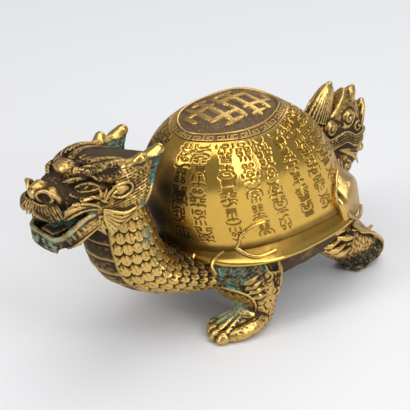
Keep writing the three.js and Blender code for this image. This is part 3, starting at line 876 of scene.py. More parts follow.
def scale_height(p, q):
    """Relief of overlapping scales, p columns across and q rows along. Free ends lie towards low q."""
    best = np.full(len(p), -0.1)
    done = np.zeros(len(p), bool)
    for ahead in (1, 0, -1):
        row_number = np.floor(q) + ahead
        shift = np.where(row_number % 2 == 0, 0.0, 0.5)
        away = (p - shift + 0.5) % 1.0 - 0.5
        along = q - row_number
        end = np.where(along < 0.3, ((along - 0.3) / 0.74) ** 2, 0)
        edge = (away / 0.57) ** 2 + end
        inside = (edge < 1) & (along < 1.25) & (along > -0.5) & ~done
        lift = 0.78 - 0.52 * (along + 0.44) - 1.1 * away**2
        groove = np.exp(-((away / 0.09) ** 2)) * (along < 0.6)
        lift = lift + 0.13 * ramp(0.55, 0.86, edge) - 0.10 * groove
        best = np.where(inside, lift, best)
        done |= inside
    return best


def neck(sizes):
    """The neck with its smooth throat shields, raised border lines and overlapping scales."""
    path = through(NECK, NECK_ROWS + 1)
    at, wide, thick = path[:, :3], path[:, 3], path[:, 4]
    along = unit(np.gradient(at, axis=0))
    rise = np.cross(along, (1.0, 0, 0))

    def form(u, v):
        a = np.radians(u / NECK_COLUMNS * 360 - 90)
        return at[v] + np.outer(np.cos(a) * wide[v], (1, 0, 0)) + rise[v] * (np.sin(a) * thick[v])[:, None]

    skin, u, v = wrapped(NECK_COLUMNS, NECK_ROWS, form)
    closed_off(skin)
    turn = u / NECK_COLUMNS * 360
    turn = np.where(turn > 180, 360 - turn, turn)
    lengths = []
    for column in (0, NECK_COLUMNS // 4):
        line = form(np.full(NECK_ROWS + 1, column), np.arange(NECK_ROWS + 1))
        lengths.append(np.cumsum(np.linalg.norm(np.diff(line, axis=0, prepend=line[:1]), axis=1))[v])
    s_throat, s_flank = lengths

    border = 40 + 3.0 * np.sin(s_flank * 0.09)
    shield = (s_throat + 0.012 * (turn / 10) ** 3) / 7.4
    part = shield - np.floor(shield)
    seam = np.exp(-((np.minimum(part, 1 - part) / 0.05) ** 2))
    plates = 0.75 * (1 - part) ** 0.8 * ramp(0.0, 0.10, part) - 0.25 * seam
    p = (turn - border) / (180 - border) * 8.5
    s_mix = s_flank + 3.0 * np.sin(np.radians(turn - 90))
    q = s_mix / 4.3
    scales = scale_height(p, q) * (sizes.scale_relief / MM)
    on_side = ramp(0.6, 2.2, turn - border)
    height = plates * (1 - ramp(-2.4, -1.0, turn - border)) + scales * on_side
    cord = np.exp(-(((turn - border) / 2.1) ** 2))
    height = height * (1 - cord) + 0.75 * cord
    height += 0.14 * (grain(skin.co, 1.3, 31) - 0.5) + 0.10 * (grain(skin.co, 0.7, 32) - 0.5) * on_side
    ends = ramp(0, 5, v) * ramp(0, 5, NECK_ROWS - v)
    skin.co = skin.co + skin.normals() * (height * ends)[:, None]
    skin.co = skin.eased(skin.co, 1, 0.4)
    skin.attribute("relief", np.clip(skin.relief(6, 26) + 0.10 * on_side + 0.12 * cord, 0, 1))
    green = spots(skin.co, (18, -51, 45, 6.0), (16, -56, 50, 5), (-18, -51, 45, 6),
                  (20, -45, 38, 4)) * (turn > 60)
    # Painted shade: the top of the neck under the head, mane and rim, and the spots under the chin and where
    # the neck meets the body; the throat shields are darkened evenly.
    shade = spots(skin.co, (0, -76, 54, 9), (20, -36, 30, 9), (-20, -36, 30, 9))
    soot_and_shade = 0.42 * (1 - on_side) + 0.55 * ramp(115, 160, turn) + 0.6 * shade
    skin.stain_and_shade(green, soot_and_shade, 0.25 * (1 - on_side))
    return skin


def front_leg(clay):
    """Clay of the left front leg: thick calf, flame tufts, curls and a four-toed foot."""
    skew = (0.6, 0.8, 0)
    clay.strand([(15, -20, 30.2, 8, 12), (19.2, -21, 26.2, 7.8, 12.6), (22.8, -19.6, 21, 6.8, 11.2),
                 (25.3, -16.8, 14.5, 5.7, 8.6), (25.8, -15.8, 8.5, 5.2, 7), (25.4, -16.8, 3.2, 5.2, 6.4)],
                30, 24, flat=skew)
    clay.ball((24.6, -22.6, 3.4), (7, 8.6, 4.4), (8, 0, 0))
    clay.ball((24.4, -20.2, 6.2), (5.6, 5.2, 4.4))
    clay.ball((23, -28.2, 2.6), (6.8, 4.6, 2.9), (6, 0, 0))
    # Smooth outer pad of the foot
    clay.strand([(29.4, -16, 4.6, 2.4, 3.4), (30.2, -20.5, 4, 2.8, 3.3), (30, -25.5, 3.4, 2.9, 3),
                 (28.6, -30, 2.8, 2.6, 2.6), (26.6, -32.6, 2.2, 1.8, 2)], 24, 14, flat=(0, 0, 1))
    toes = [(17.6, -30.2, 2.15), (20.3, -32.8, 2.25), (23.6, -34.4, 2.3), (27.0, -34.0, 2.35)]
    for k, (x, y, r) in enumerate(toes):
        clay.ball((x, y, 2.6), (r, r * 1.05, 2.5))
        clay.ball((x - 0.2, y - 0.9, 1.9), (r * 0.86, r, 1.85))
        ankle = (22.6 + 0.9 * k, -20.5 + 0.35 * k, 8.8 - 0.2 * k)
        midway = ((ankle[0] + x) / 2 + 0.1, (ankle[1] + y) / 2)
        clay.strand([(*ankle, 0.7), (*midway, 6.4, 0.9), (x + 0.1, y + 1.6, 4.4, 1.05), (x, y, 3.4, 0.8)],
                    20)
        clay.strand([(*ankle[:2], ankle[2] + 0.7, 0.3), (*midway, 7.25, 0.36),
                     (x + 0.1, y + 1.8, 5.25, 0.4)], 18, 8)
    # Outline of the calf, thin gold ridges and the line round the ankle
    edge = [(29.4, -9.4, 27, 0.9), (30.8, -9, 23.4, 0.9), (31, -9.4, 18.6, 0.9), (30.6, -10.4, 14.2, 0.85),
            (30.2, -12.4, 9.2, 0.9), (29.8, -14.6, 5.4, 0.9), (29.6, -17, 3.8, 0.6)]
    clay.strand(edge, 40)
    for k, (dy, dz) in enumerate(((1.2, 0.4), (2.3, 0.6), (3.4, 1.0))):
        rows = [(x + 0.05 - 0.25 * k, y - dy, z + dz * 0.4, 0.42) for x, y, z, r in edge[1:6]]
        clay.strand(rows, 26, 8)
    clay.strand([(21.4, -30.4, 20.6, 0.4), (24.7, -28.4, 19.9, 0.6), (27.4, -25.6, 18.6, 0.62),
                 (29.2, -23, 16.6, 0.6), (30.2, -21.2, 13.2, 0.5), (29.8, -20.6, 9.6, 0.3)], 30, 8)
    clay.strand([(20.4, -28, 18.4, 0.4), (23.4, -26, 17.6, 0.5), (26, -23.4, 15.6, 0.5),
                 (27.6, -21.4, 11.8, 0.3)], 22, 8)
    tufts = [((27.6, -25, 22.6), (29.4, -22.8, 23.4), (30.2, -19.8, 25.2)),
             ((28.3, -24.4, 20.6), (30.2, -21.8, 21.4), (30.8, -18.8, 22.6)),
             ((28.9, -23.2, 18.6), (30.6, -20.8, 19), (31.2, -17.8, 19.4)),
             ((29.2, -22, 16.2), (30.8, -19.6, 16.2), (31.2, -17, 16))]
    for a, b, c in tufts:
        clay.strand([(*a, 0.4, 0.4), (*b, 1.25, 0.8), (*c, 0.3, 0.3)], 14, 10, flat=(1, -0.7, 0))
        clay.strand([(a[0], a[1] - 0.3, a[2] - 0.7, 0.3), (b[0] + 0.6, b[1] - 0.3, b[2] - 0.4, 0.36),
                     (*c, 0.25)], 12, 8)
    clay.curl((30.7, -15.6, 23.6), (0.85, -0.5, 0.1), 210, 2.3, 1.25, 0.62, rise=0.7)
    clay.ball((30.1, -15.5, 23.6), (0.9, 2, 2))
    clay.curl((31, -12.9, 16), (0.9, -0.4, 0.05), 30, 2.4, 1.4, 0.55, rise=0.7, hand=-1)
    clay.strand([(30.6, -15.6, 18.2, 0.35), (30.9, -14.8, 13.6, 0.5), (30.6, -15, 10.4, 0.5),
                 (30.2, -16, 7.4, 0.3)], 18, 8)
    for k in range(9):
        f = k / 8
        x, y, z = 19.0 + 10.5 * f, -33.0 + 17.0 * f, 28.6 - 0.6 * math.sin(3 * f)
        clay.strand([(x, y, z, 0.35), (x + 1, y + 0.2, z - 2.2, 0.5), (x + 1.3, y + 1.2, z - 4.2, 0.28)],
                    10, 8)
    clay.strand([(14, -27, 22, 0.6), (14, -23, 18, 0.8), (18.4, -18, 12, 0.7), (20.4, -16, 7, 0.5)], 18, 8)
    clay.curl((15, -19.5, 21.5), (-1, -0.2, -0.1), 60, 2.4, 1.2, 0.7, rise=0.8)
    return clay


def hind_leg(clay):
    """Clay of the left hind leg: thigh with leaf locks, thick pitted foot."""
    down = (0, -1, 0)
    clay.strand([(17, 24, 29, 8.5, 12), (20.6, 28, 22.5, 7.4, 11), (22.4, 36, 14.5, 6.2, 9.4),
                 (22.6, 43, 8, 5.8, 8.2), (22.6, 45.5, 2.5, 5.2, 7.2)], 28, 24, flat=down)
    clay.ball((22.4, 45.2, 4.6), (5.6, 8.2, 4.6), (-8, 0, 0))
    clay.ball((22.8, 49.6, 5.2), (4.9, 5.2, 5.2))
    for k, (x, y) in enumerate(((16.6, 40.0), (19.4, 38.2), (22.6, 37.8), (25.6, 39.6))):
        root = (20.2 + 1.2 * k, 46.0, 8.4)
        clay.strand([(*root, 1.6), ((root[0] + x) / 2, 42.6, 6.8, 1.6), (x, y + 2.4, 4.4, 1.9),
                     (x, y, 3.2, 1.9)], 18)
        clay.ball((x, y + 0.4, 2.6), (2.05, 2.5, 2.5))
        clay.ball((x, y + 3.8, 2.4), (2, 3.4, 2.3))
    clay.strand([(26.6, 35.5, 21.6, 0.5), (27, 39.6, 18.8, 0.8), (27.2, 44.5, 16.8, 0.85),
                 (26.9, 49, 13.2, 0.9), (26.4, 52.6, 9.2, 0.9), (25.8, 53.4, 5, 0.9),
                 (24.6, 52.4, 1.6, 0.6)], 34)
    clay.strand([(25.6, 31.5, 12.6, 0.5), (26.9, 36, 11.6, 0.6), (27.4, 41.5, 11.2, 0.7),
                 (27.4, 46.8, 8.6, 0.7), (26.8, 50, 4.6, 0.6)], 24, 8)
    leaves = [((26.6, 13.8, 24.6), (27.8, 17.6, 23.2), (28.2, 22, 23.6)),
              ((26.6, 15.8, 21.6), (28.2, 20, 20.6), (28.6, 25.2, 21.4)),
              ((26.6, 18.4, 18.4), (28.4, 22.8, 17.4), (28.9, 28.4, 18.4)),
              ((26.4, 22, 15.8), (28.2, 26, 14.6), (28.8, 31.4, 15.4)),
              ((27.4, 18, 25.8), (28.6, 22.6, 25.8), (28.8, 27.6, 24.8)),
              ((28, 24, 22.8), (29, 28.4, 21.2), (28.8, 33, 19.6))]
    for a, b, c in leaves:
        clay.strand([(*a, 0.4, 0.4), (*b, 1.55, 0.9), (*c, 0.5, 0.4)], 16, 10, flat=(1, 0, 0))
        for lift in (-0.7, 0.1, 0.8):
            clay.strand([(a[0] + 0.3, a[1], a[2] + lift * 0.5, 0.3),
                         (b[0] + 0.85, b[1], b[2] + lift, 0.3),
                         (c[0] + 0.2, c[1], c[2] + lift * 0.3, 0.22)], 12, 8)
    clay.curl((27.9, 34.4, 24.2), (1, 0.2, 0.2), 200, 2.4, 1.2, 0.6, rise=0.6)
    return clay


def leg_skin(clay, hind, side):
    """The leg's skin with its stains and painted shade; side is 1 on the left and -1 on the right."""
    skin = clay.fused("leg", LEG_VOXEL, 2)
    x, y, z = skin.co.T
    pitted = ramp(12, 5, z) if hind else 0.35 * ramp(16, 8, z)
    pits = np.minimum(grain(skin.co, 1.15, 41), grain(skin.co, 0.8, 42))
    rough = 0.16 * (grain(skin.co, 0.9, 43) - 0.5) + 0.12 * (grain(skin.co, 2.2, 44) - 0.5)
    skin.raised(rough - 0.65 * pitted * ramp(0.30, 0.12, pits))
    skin.co[:, 2] = np.maximum(skin.co[:, 2], 0.02)
    skin.attribute("relief", np.clip(skin.relief(8, 40) + (0.02 if hind else 0.05), 0, 1))
    outer = ramp(15, 30, np.abs(x))
    if hind:
        # The pitted pad of the foot is darkened; the darkening of the inner side, towards the body under the
        # shell, is painted shade.
        pad = ramp(13, 7.5, z) * ramp(54.5, 51.5, y) * ramp(31.0, 28.8, np.abs(x))
        soot_and_shade = 0.9 * pad + 0.35 * (1 - outer)
        pale = 0.16 * ramp(12, 6, z) * (grain(skin.co, 1.5, 45) > 0.6)
        skin.stain_and_shade(0.24 * ramp(13, 7, z), soot_and_shade, 0.35 * ramp(24, 32, z), pale)
    else:
        s = np.array((side, 1, 1))
        green = 0.62 * spots(skin.co * s, (26, -26, 27, 6), (21, -31, 27, 6), (29.5, -20, 28.5, 4.5),
                             (24, -28.5, 22, 4.5), (19, -33, 25, 5))
        pale = 0.95 * spots(skin.co * s, (23, -22.5, 10.5, 3.6), (22.4, -25.5, 7.8, 3.2),
                            (20.4, -28.5, 6.2, 2.6))
        # Painted shadow under the toes where they meet the floor, and painted shade on the inner side and on
        # the upper leg under the rim, all but the outer curl; a patch on the inner foot is darkened too.
        soot_and_shade = 0.75 * spots(skin.co * s, (18, -31.5, 1.2, 2.0), (21, -34.5, 1.2, 2.0),
                            (25, -36, 1.2, 2.0)) + 0.3 * (1 - outer)
        soot_and_shade = np.maximum(soot_and_shade, 0.6 * ramp(13, 24, z) * (1 - spots(skin.co * s, (30, -17, 20, 5.5))))
        soot_and_shade = np.maximum(soot_and_shade, 0.5 * spots(skin.co * s, (20, -28, 4.6, 4.5)))
        skin.stain_and_shade(green, soot_and_shade, 0.15, pale)
    return skin


# head, mane, horns and tail


def skull():
    """Clay of the dragon's head without its mane and horns."""
    up = (0, 0, 1)
    clay = Clay()
    clay.strand([(0, -47, 69.5, 6, 4), (0, -55, 71, 9, 5.8), (0, -66, 72.2, 11.3, 8),
                 (0, -75, 73.4, 10.8, 7.6), (0, -83, 73.2, 8.6, 6.2), (0, -90, 72.8, 6.6, 5.2),
                 (0, -95.5, 72.6, 5.8, 4.6)], 44, 28, flat=up)
    half = Clay()
    half.ball((9, -73.5, 67.8), (4.4, 8, 5.6), (0, 0, -8))
    half.ball((6.4, -82.5, 72.6), (3.6, 7, 4.4), (0, 0, -8))
    half.ball((6.2, -70.5, 77.6), (6.4, 7.6, 3.4), (-10, 14, 0))
    # Nostril, a deep ring on the front of the snout
    half.strand([(4.5 + 2.3 * math.cos(a), -95.3 + 1.5 * math.cos(a) - 0.3 * math.sin(a),
                  75.8 + 2.2 * math.sin(a), 0.76 + 0.14 * math.cos(a - 0.6))
                 for a in np.radians(np.arange(0, 361, 30))], 40)
    half.ball((3.4, -91.4, 75.2), (2.8, 2, 2.5))
    half.strand([(6.2, -94.6, 77, 0.9), (7.4, -93.2, 76.6, 1), (7.9, -91.6, 75, 0.5)], 10)
    half.strand([(6.6, -94.6, 77.6, 0.9), (7.4, -92, 75.4, 1.2), (6.6, -91, 72.8, 0.8)], 12)
    # Upper lip with tufts of whiskers that fan out under the nose
    half.strand([(2.2, -98.2, 71, 1.5), (4.6, -97.4, 69.8, 1.5), (6.8, -95.2, 68.6, 1.4),
                 (8.2, -92.2, 68.4, 1.3), (9, -88.2, 69.6, 1.2), (9.8, -84.4, 70.2, 1.1),
                 (10.6, -80.4, 69.8, 1.1), (11.4, -77.2, 69.6, 0.9)], 40)
    half.strand([(6.4, -93.4, 67.9, 0.8), (8.6, -90, 67.4, 1), (9.4, -86, 68, 0.9),
                 (10.2, -81.8, 68.4, 0.8), (11.6, -77.6, 67.6, 0.8), (12.4, -75.4, 66.2, 0.7)], 30)
    for k in range(12):
        a = math.radians(-4 + 104 * k / 11)
        c, s = math.cos(a), math.sin(a)
        half.strand([(0.4 + 5.6 * s, -92.6 - 4.8 * c - 1.2 * s, 73.9 - 0.3 * s, 0.3),
                     (0.6 + 7.7 * s, -92.9 - 5.9 * c - 0.6 * s, 71.6, 0.44),
                     (0.8 + 8.9 * s, -92.9 - 5.6 * c + 0.5 * s, 68.6 - 0.7 * (k % 2), 0.3)], 14, 8)
    half.ball((4, -94.2, 71.4), (3.2, 2.3, 2.3))
    half.ball((1.6, -95, 72.2), (2.2, 2.1, 2.4))
    # Brow: wide knob over the nose bridge, pitted ridges behind it and a row of small locks over the eye
    half.strand([(4, -82.4, 80.6, 1.9), (6.6, -80.2, 80.2, 2), (8.2, -76.8, 80.2, 1.9),
                 (8.8, -72.8, 80.6, 1.8), (9, -68.6, 80.4, 1.6), (8.8, -64.4, 79.2, 1.5),
                 (8.6, -61.6, 77.4, 1.2)], 40)
    half.strand([(1.8, -79.6, 81.4, 1.2), (3.6, -76.2, 81.6, 1.4), (5, -71.6, 81.2, 1.4),
                 (5.8, -66.4, 80, 1.2), (6.2, -61, 77.8, 0.9), (6.2, -55, 75.6, 0.8)], 30)
    half.strand([(0.8, -76, 81.2, 0.8), (1.6, -71, 80.6, 0.9), (2.2, -64.4, 79, 0.9),
                 (2.6, -56, 76.4, 0.7)], 24)
    half.strand([(2.8, -86.8, 76.6, 0.8), (5.4, -86.2, 78.6, 0.9), (7.4, -83.8, 79.4, 0.8),
                 (8.6, -80.6, 79.4, 0.6)], 20)
    for k in range(8):
        y, z = -78.6 + 1.6 * k, 80.0 - 0.10 * k
        half.strand([(9.3, y - 0.6, z, 0.35), (10.7 + 0.08 * k, y + 0.7, z - 1.3, 0.52),
                     (11.2 + 0.08 * k, y + 2.6, z - 2.8, 0.24)], 12, 8)
    for k in range(5):
        half.strand([(5.6 + 0.5 * k, -80 + 2.2 * k, 82 - 0.1 * k, 0.3),
                     (7 + 0.4 * k, -78.6 + 2.4 * k, 82.6 - 0.3 * k, 0.45),
                     (8.6 + 0.2 * k, -76.2 + 2.5 * k, 82 - 0.4 * k, 0.26)], 10, 8)
    # Eye: lens in a lidded socket
    half.ball((8.1, -81.8, 76.6), (2, 2.3, 1.35), (0, 0, -12))
    half.strand([(7.6, -85.2, 76.8, 0.4), (9.2, -83.8, 77.9, 0.5), (10.2, -81.6, 78.2, 0.55),
                 (10.8, -79.2, 77.2, 0.5), (11.2, -77, 75.6, 0.35)], 22, 8)
    half.strand([(7.6, -85.4, 76.2, 0.35), (9.2, -83.8, 75.4, 0.45), (10.2, -81.4, 75.2, 0.5),
                 (10.8, -79, 75, 0.45), (11.4, -76.8, 75.2, 0.3)], 22, 8)
    half.strand([(7.6, -87.4, 75.2, 0.4), (9.2, -85.4, 73.6, 0.55), (10.6, -82.4, 72.8, 0.6),
                 (11.6, -79, 72.8, 0.55), (12.2, -76.4, 73.6, 0.35)], 22, 8)
    # Leaf points and folds at the corner of the mouth
    half.strand([(9.6, -90, 71.4, 0.3), (10.8, -86.6, 72, 0.5), (11.6, -81.8, 70.9, 0.55),
                 (11.9, -78.6, 69, 0.5), (12, -76, 66.2, 0.4)], 24, 8)
    half.strand([(9.8, -88.2, 72.4, 0.25), (10.9, -83.4, 72.6, 0.4), (11.6, -79, 72.4, 0.42),
                 (11.9, -77.1, 73.4, 0.3)], 20, 8)
    for a, b, c in (((12.0, -77.4, 71.6), (12.6, -77.8, 74.0), (12.4, -78.4, 76.2)),
                    ((12.0, -77.2, 71.6), (12.9, -76.0, 73.4), (12.8, -75.2, 75.4)),
                    ((12, -77.2, 71.4), (13, -75.4, 71.6), (13.4, -73.4, 72.4)),
                    ((12, -77.4, 71.2), (12.8, -76.4, 70.4), (13, -74.6, 69.2)),
                    ((12, -78, 71.6), (12.3, -80, 73.2), (11.8, -82, 74))):
        half.strand([(*a, 0.55), (*b, 0.6), (*c, 0.2)], 12, 8)
    half.curl((12.6, -73.4, 66.2), (1, -0.25, 0.1), 120, 2.3, 1.1, 0.6, rise=0.6)
    half.strand([(11, -78, 64.6, 0.8), (12.2, -75.6, 64.6, 0.9), (13, -72.8, 65.4, 0.8),
                 (13.2, -70.4, 67.4, 0.5)], 16, 8)
    # Lower jaw: floor, raised rim, and its underside
    clay.strand([(0, -68, 61.6, 9.6, 4.6), (0, -76, 60, 9.4, 3), (0, -83, 57.8, 8.5, 2.3),
                 (0, -89, 56.6, 7.5, 1.8), (0, -92.2, 56.9, 6.4, 1.5)], 28, 24, flat=up)
    half.strand([(11, -75.5, 66.4, 1), (10.2, -79.4, 65.6, 1), (9.5, -83.4, 64.2, 1),
                 (8.9, -87.4, 61.9, 1), (8.2, -91, 59.9, 1), (6.6, -93.2, 59.2, 0.9),
                 (3, -93.8, 59.1, 0.9), (-0.5, -93.9, 59.1, 0.9)], 40)
    half.strand([(10.2, -77, 63.2, 1.6, 2.8), (9, -83.6, 60.2, 1.3, 2.8), (8.2, -89, 57.8, 1.1, 2),
                 (7, -92.2, 57, 1.3, 1.8)], 24, 12, flat=up)
    for z, r, x in ((57.8, 0.62, 7.2), (56.6, 0.66, 7.0), (55.4, 0.7, 6.6)):
        half.strand([(x + 0.3, -91.4, z, r * 0.7), (x - 0.9, -93.4, z, r), (3, -94.1, z, r),
                     (-0.5, -94.2, z, r)], 18, 10)
    half.strand([(6.6, -92.6, 54.4, 0.8), (3.2, -93.2, 54.2, 0.9), (-0.5, -93.4, 54.2, 0.9)], 14)
    half.strand([(8.6, -90, 55.8, 0.8), (8.8, -86, 56, 1), (9.4, -81.6, 58, 1), (10.2, -77.4, 60.4, 0.9),
                 (10.8, -74.4, 62, 0.6)], 24)
    for k in range(7):
        y, z = -90.0 + 2.1 * k, 58.4 + 0.85 * k
        half.strand([(9 + 0.22 * k, y - 0.6, z + 1.4, 0.3), (9.4 + 0.22 * k, y + 0.2, z, 0.5),
                     (9.3 + 0.22 * k, y + 1.4, z - 1.6, 0.25)], 10, 8)
    half.ball((8.2, -84.8, 55.4), (1.1, 1.4, 1))
    clay.strand([(0, -92, 59, 3.4, 0.8), (0, -86, 59.8, 4.2, 1.1), (0, -79, 62.2, 4.4, 1.4),
                 (0, -72, 64.4, 4, 1.6)], 22, 14, flat=up)
    for k in range(4):
        half.strand([(7.6, -90.4 + 3.1 * k, 59.4 + 0.9 * k, 0.7),
                     (7.5, -90.6 + 3.1 * k, 61.2 + 0.9 * k, 0.25)], 6, 8)
    half.strand([(6.4, -94.6, 68.6, 0.7), (6.4, -94.9, 66.4, 0.25)], 6, 8)
    # Beard strands under the hinge of the jaw
    for k in range(7):
        x = 10.8 - 1.35 * k
        half.strand([(x, -75.4 + 0.2 * k, 60.8 - 0.5 * k, 0.5),
                     (x - 0.1, -75.6 + 0.3 * k, 57.8 - 0.4 * k, 0.6),
                     (x - 0.6, -73.8 + 0.3 * k, 55 - 0.2 * k, 0.3)], 12, 8)
    clay.parts += half.mirrored().parts
    clay.strand([(0, -97, 77.2, 1.7), (0, -94.4, 77.6, 2.2), (0, -90.8, 76.2, 2), (0, -87.4, 76.6, 1.9)], 18)
    clay.ball((0, -95.8, 75.8), (2.6, 2.3, 2.7))
    clay.ball((0, -82.2, 79.4), (5.8, 4, 3.9))
    clay.ball((0, -83.4, 80.6), (4.2, 2.9, 2.8))
    return clay


def head():
    """The head with wrinkles and pitting."""
    skin = skull().fused("head", HEAD_VOXEL, 2)
    x, y, z = skin.co.T
    ax = np.abs(x)
    folded = np.stack([ax, y, z], 1)
    pitted = spots(folded, (6, -85, 76.5, 4.6), (9, -82, 78.5, 4.0), (3, -86.5, 77.5, 3.2),
                   (9, -77, 79.0, 3.4), (4, -78, 82, 3.6), (10, -72, 79, 3.6), (8, -86, 73.4, 3.0))
    pits = np.minimum(grain(skin.co, 0.95, 51), grain(skin.co, 0.7, 52))
    rough = 0.10 * (grain(skin.co, 0.7, 53) - 0.5) + 0.10 * (grain(skin.co, 1.8, 54) - 0.5)
    skin.raised(rough - 1.2 * spots(folded, (4.5, -95.0, 75.8, 1.5)) - 0.5 * pitted
                * ramp(0.34, 0.14, pits) + 0.35 * pitted * (grain(skin.co, 0.8, 55) - 0.5))
    smooth_top = spots(folded, (0, -62, 78, 9), (4, -52, 75, 8), (0, -70, 81, 6))
    whiskers = spots(folded, (4, -95.5, 71.6, 4.2))
    dull = np.clip(0.2 * smooth_top + 0.16 * pitted + 0.14 * whiskers, 0, 0.34)
    skin.attribute("relief", np.clip(skin.relief(7, 40) - dull, 0, 1))
    mouth = (ax < 9.4) * ramp(-68, -76, y) * ramp(57.5, 59, z) * ramp(70.0, 68.4, z)
    knob = spots(skin.co, (0, -83.6, 82.6, 1.6), (2.6, -83.4, 82, 1.2))
    nose = spots(folded, (1.5, -95, 77.8, 1.8), (6, -94, 77.2, 1.2))
    soot_and_shade = np.maximum(0.76 * pitted, 0.66 * smooth_top) * (1 - 0.7 * knob)
    soot_and_shade = np.maximum(soot_and_shade, 0.4 * spots(folded, (4, -95, 74.0, 4.6), (9, -76, 81, 5)) * (1 - 0.8 * knob))
    soot_and_shade = np.maximum(soot_and_shade, 0.98 * spots(folded, (4.5, -94.9, 75.8, 1.7)))
    soot_and_shade = np.maximum(soot_and_shade, 0.75 * mouth)
    soot_and_shade = np.maximum(soot_and_shade, 0.9 * ramp(61.4, 58.6, z) * ramp(-84, -90, y))
    soot_and_shade = np.maximum(soot_and_shade, 0.45 * ramp(76, 72, z) * ramp(-86, -90, y) * (1 - nose))
    green = np.maximum(0.75 * mouth * ramp(-93, -87, y) * (grain(skin.co, 3.0, 56) > 0.36),
                       0.55 * spots(skin.co, (9.6, -85, 63.4, 2.4), (9, -89, 61, 2.4)))
    pale = 0.8 * spots(skin.co, (9.4, -85, 64.4, 1.3), (8.8, -89, 61.6, 1.3), (10.2, -80, 65.8, 1.2),
                       (10.9, -76, 66.6, 1.0), (3, -93.8, 59.9, 1.6), (-4, -93.8, 59.9, 1.6),
                       (7, -92.8, 60, 1.8))
    front = ramp(-92.4, -93.8, y) * (z < 59.6)
    pale = np.maximum(pale, 0.7 * front * ramp(0.3, 0.5, grain(skin.co, 1.6, 57)))
    eye = spots(folded, (9.9, -81.8, 76.6, 1.2))
    skin.stain_and_shade(green, soot_and_shade * (1 - eye), 0.22 + 0.3 * smooth_top, pale)
    return skin


def horns():
    """The two forked horns behind the brows."""
    clay = Clay()
    clay.strand([(8.2, -61.5, 72, 4.2), (9.4, -60.4, 76, 3.6), (10.5, -59.2, 78.8, 2.7),
                 (11, -58.6, 80, 2.1)], 22, 14)
    clay.ball((10.9, -58.7, 79.8), 2.1)
    clay.strand([(7.4, -59.5, 69, 5), (8.4, -56.4, 73, 4.7), (9.4, -53.2, 77, 3.8),
                 (9.8, -50.2, 79.6, 2.4), (9.8, -49.2, 80.6, 1.9)], 26, 14)
    clay.ball((9.8, -49.5, 80), (2.1, 2.2, 2))
    for k in range(5):
        a = math.radians(-60 + 38 * k)
        dx, dy = math.cos(a), math.sin(a)
        clay.strand([(8.6 + 3.9 * dx, -57 + 3.6 * dy, 73, 0.5),
                     (9.4 + 3 * dx, -53.8 + 2.8 * dy, 76.6, 0.5),
                     (9.8 + 1.9 * dx, -51 + 1.8 * dy, 79.2, 0.3)], 12, 8)
    skin = clay.mirrored().fused("horns", HEAD_VOXEL, 2)
    z = skin.co[:, 2]
    low = ramp(80.2, 78.0, z)
    pits = np.minimum(grain(skin.co, 0.9, 61), grain(skin.co, 0.65, 62))
    skin.raised(0.3 * low * (grain(skin.co, 0.75, 63) - 0.5) - 0.55 * low * ramp(0.32, 0.12, pits))
    skin.attribute("relief", np.clip(skin.relief(7, 30) * (1 - 0.55 * low) + 0.16 * (1 - low), 0, 1))
    skin.stain_and_shade(0.16 * low, 0.9 * low, 0.3 * low, 0.2 * low)
    return skin


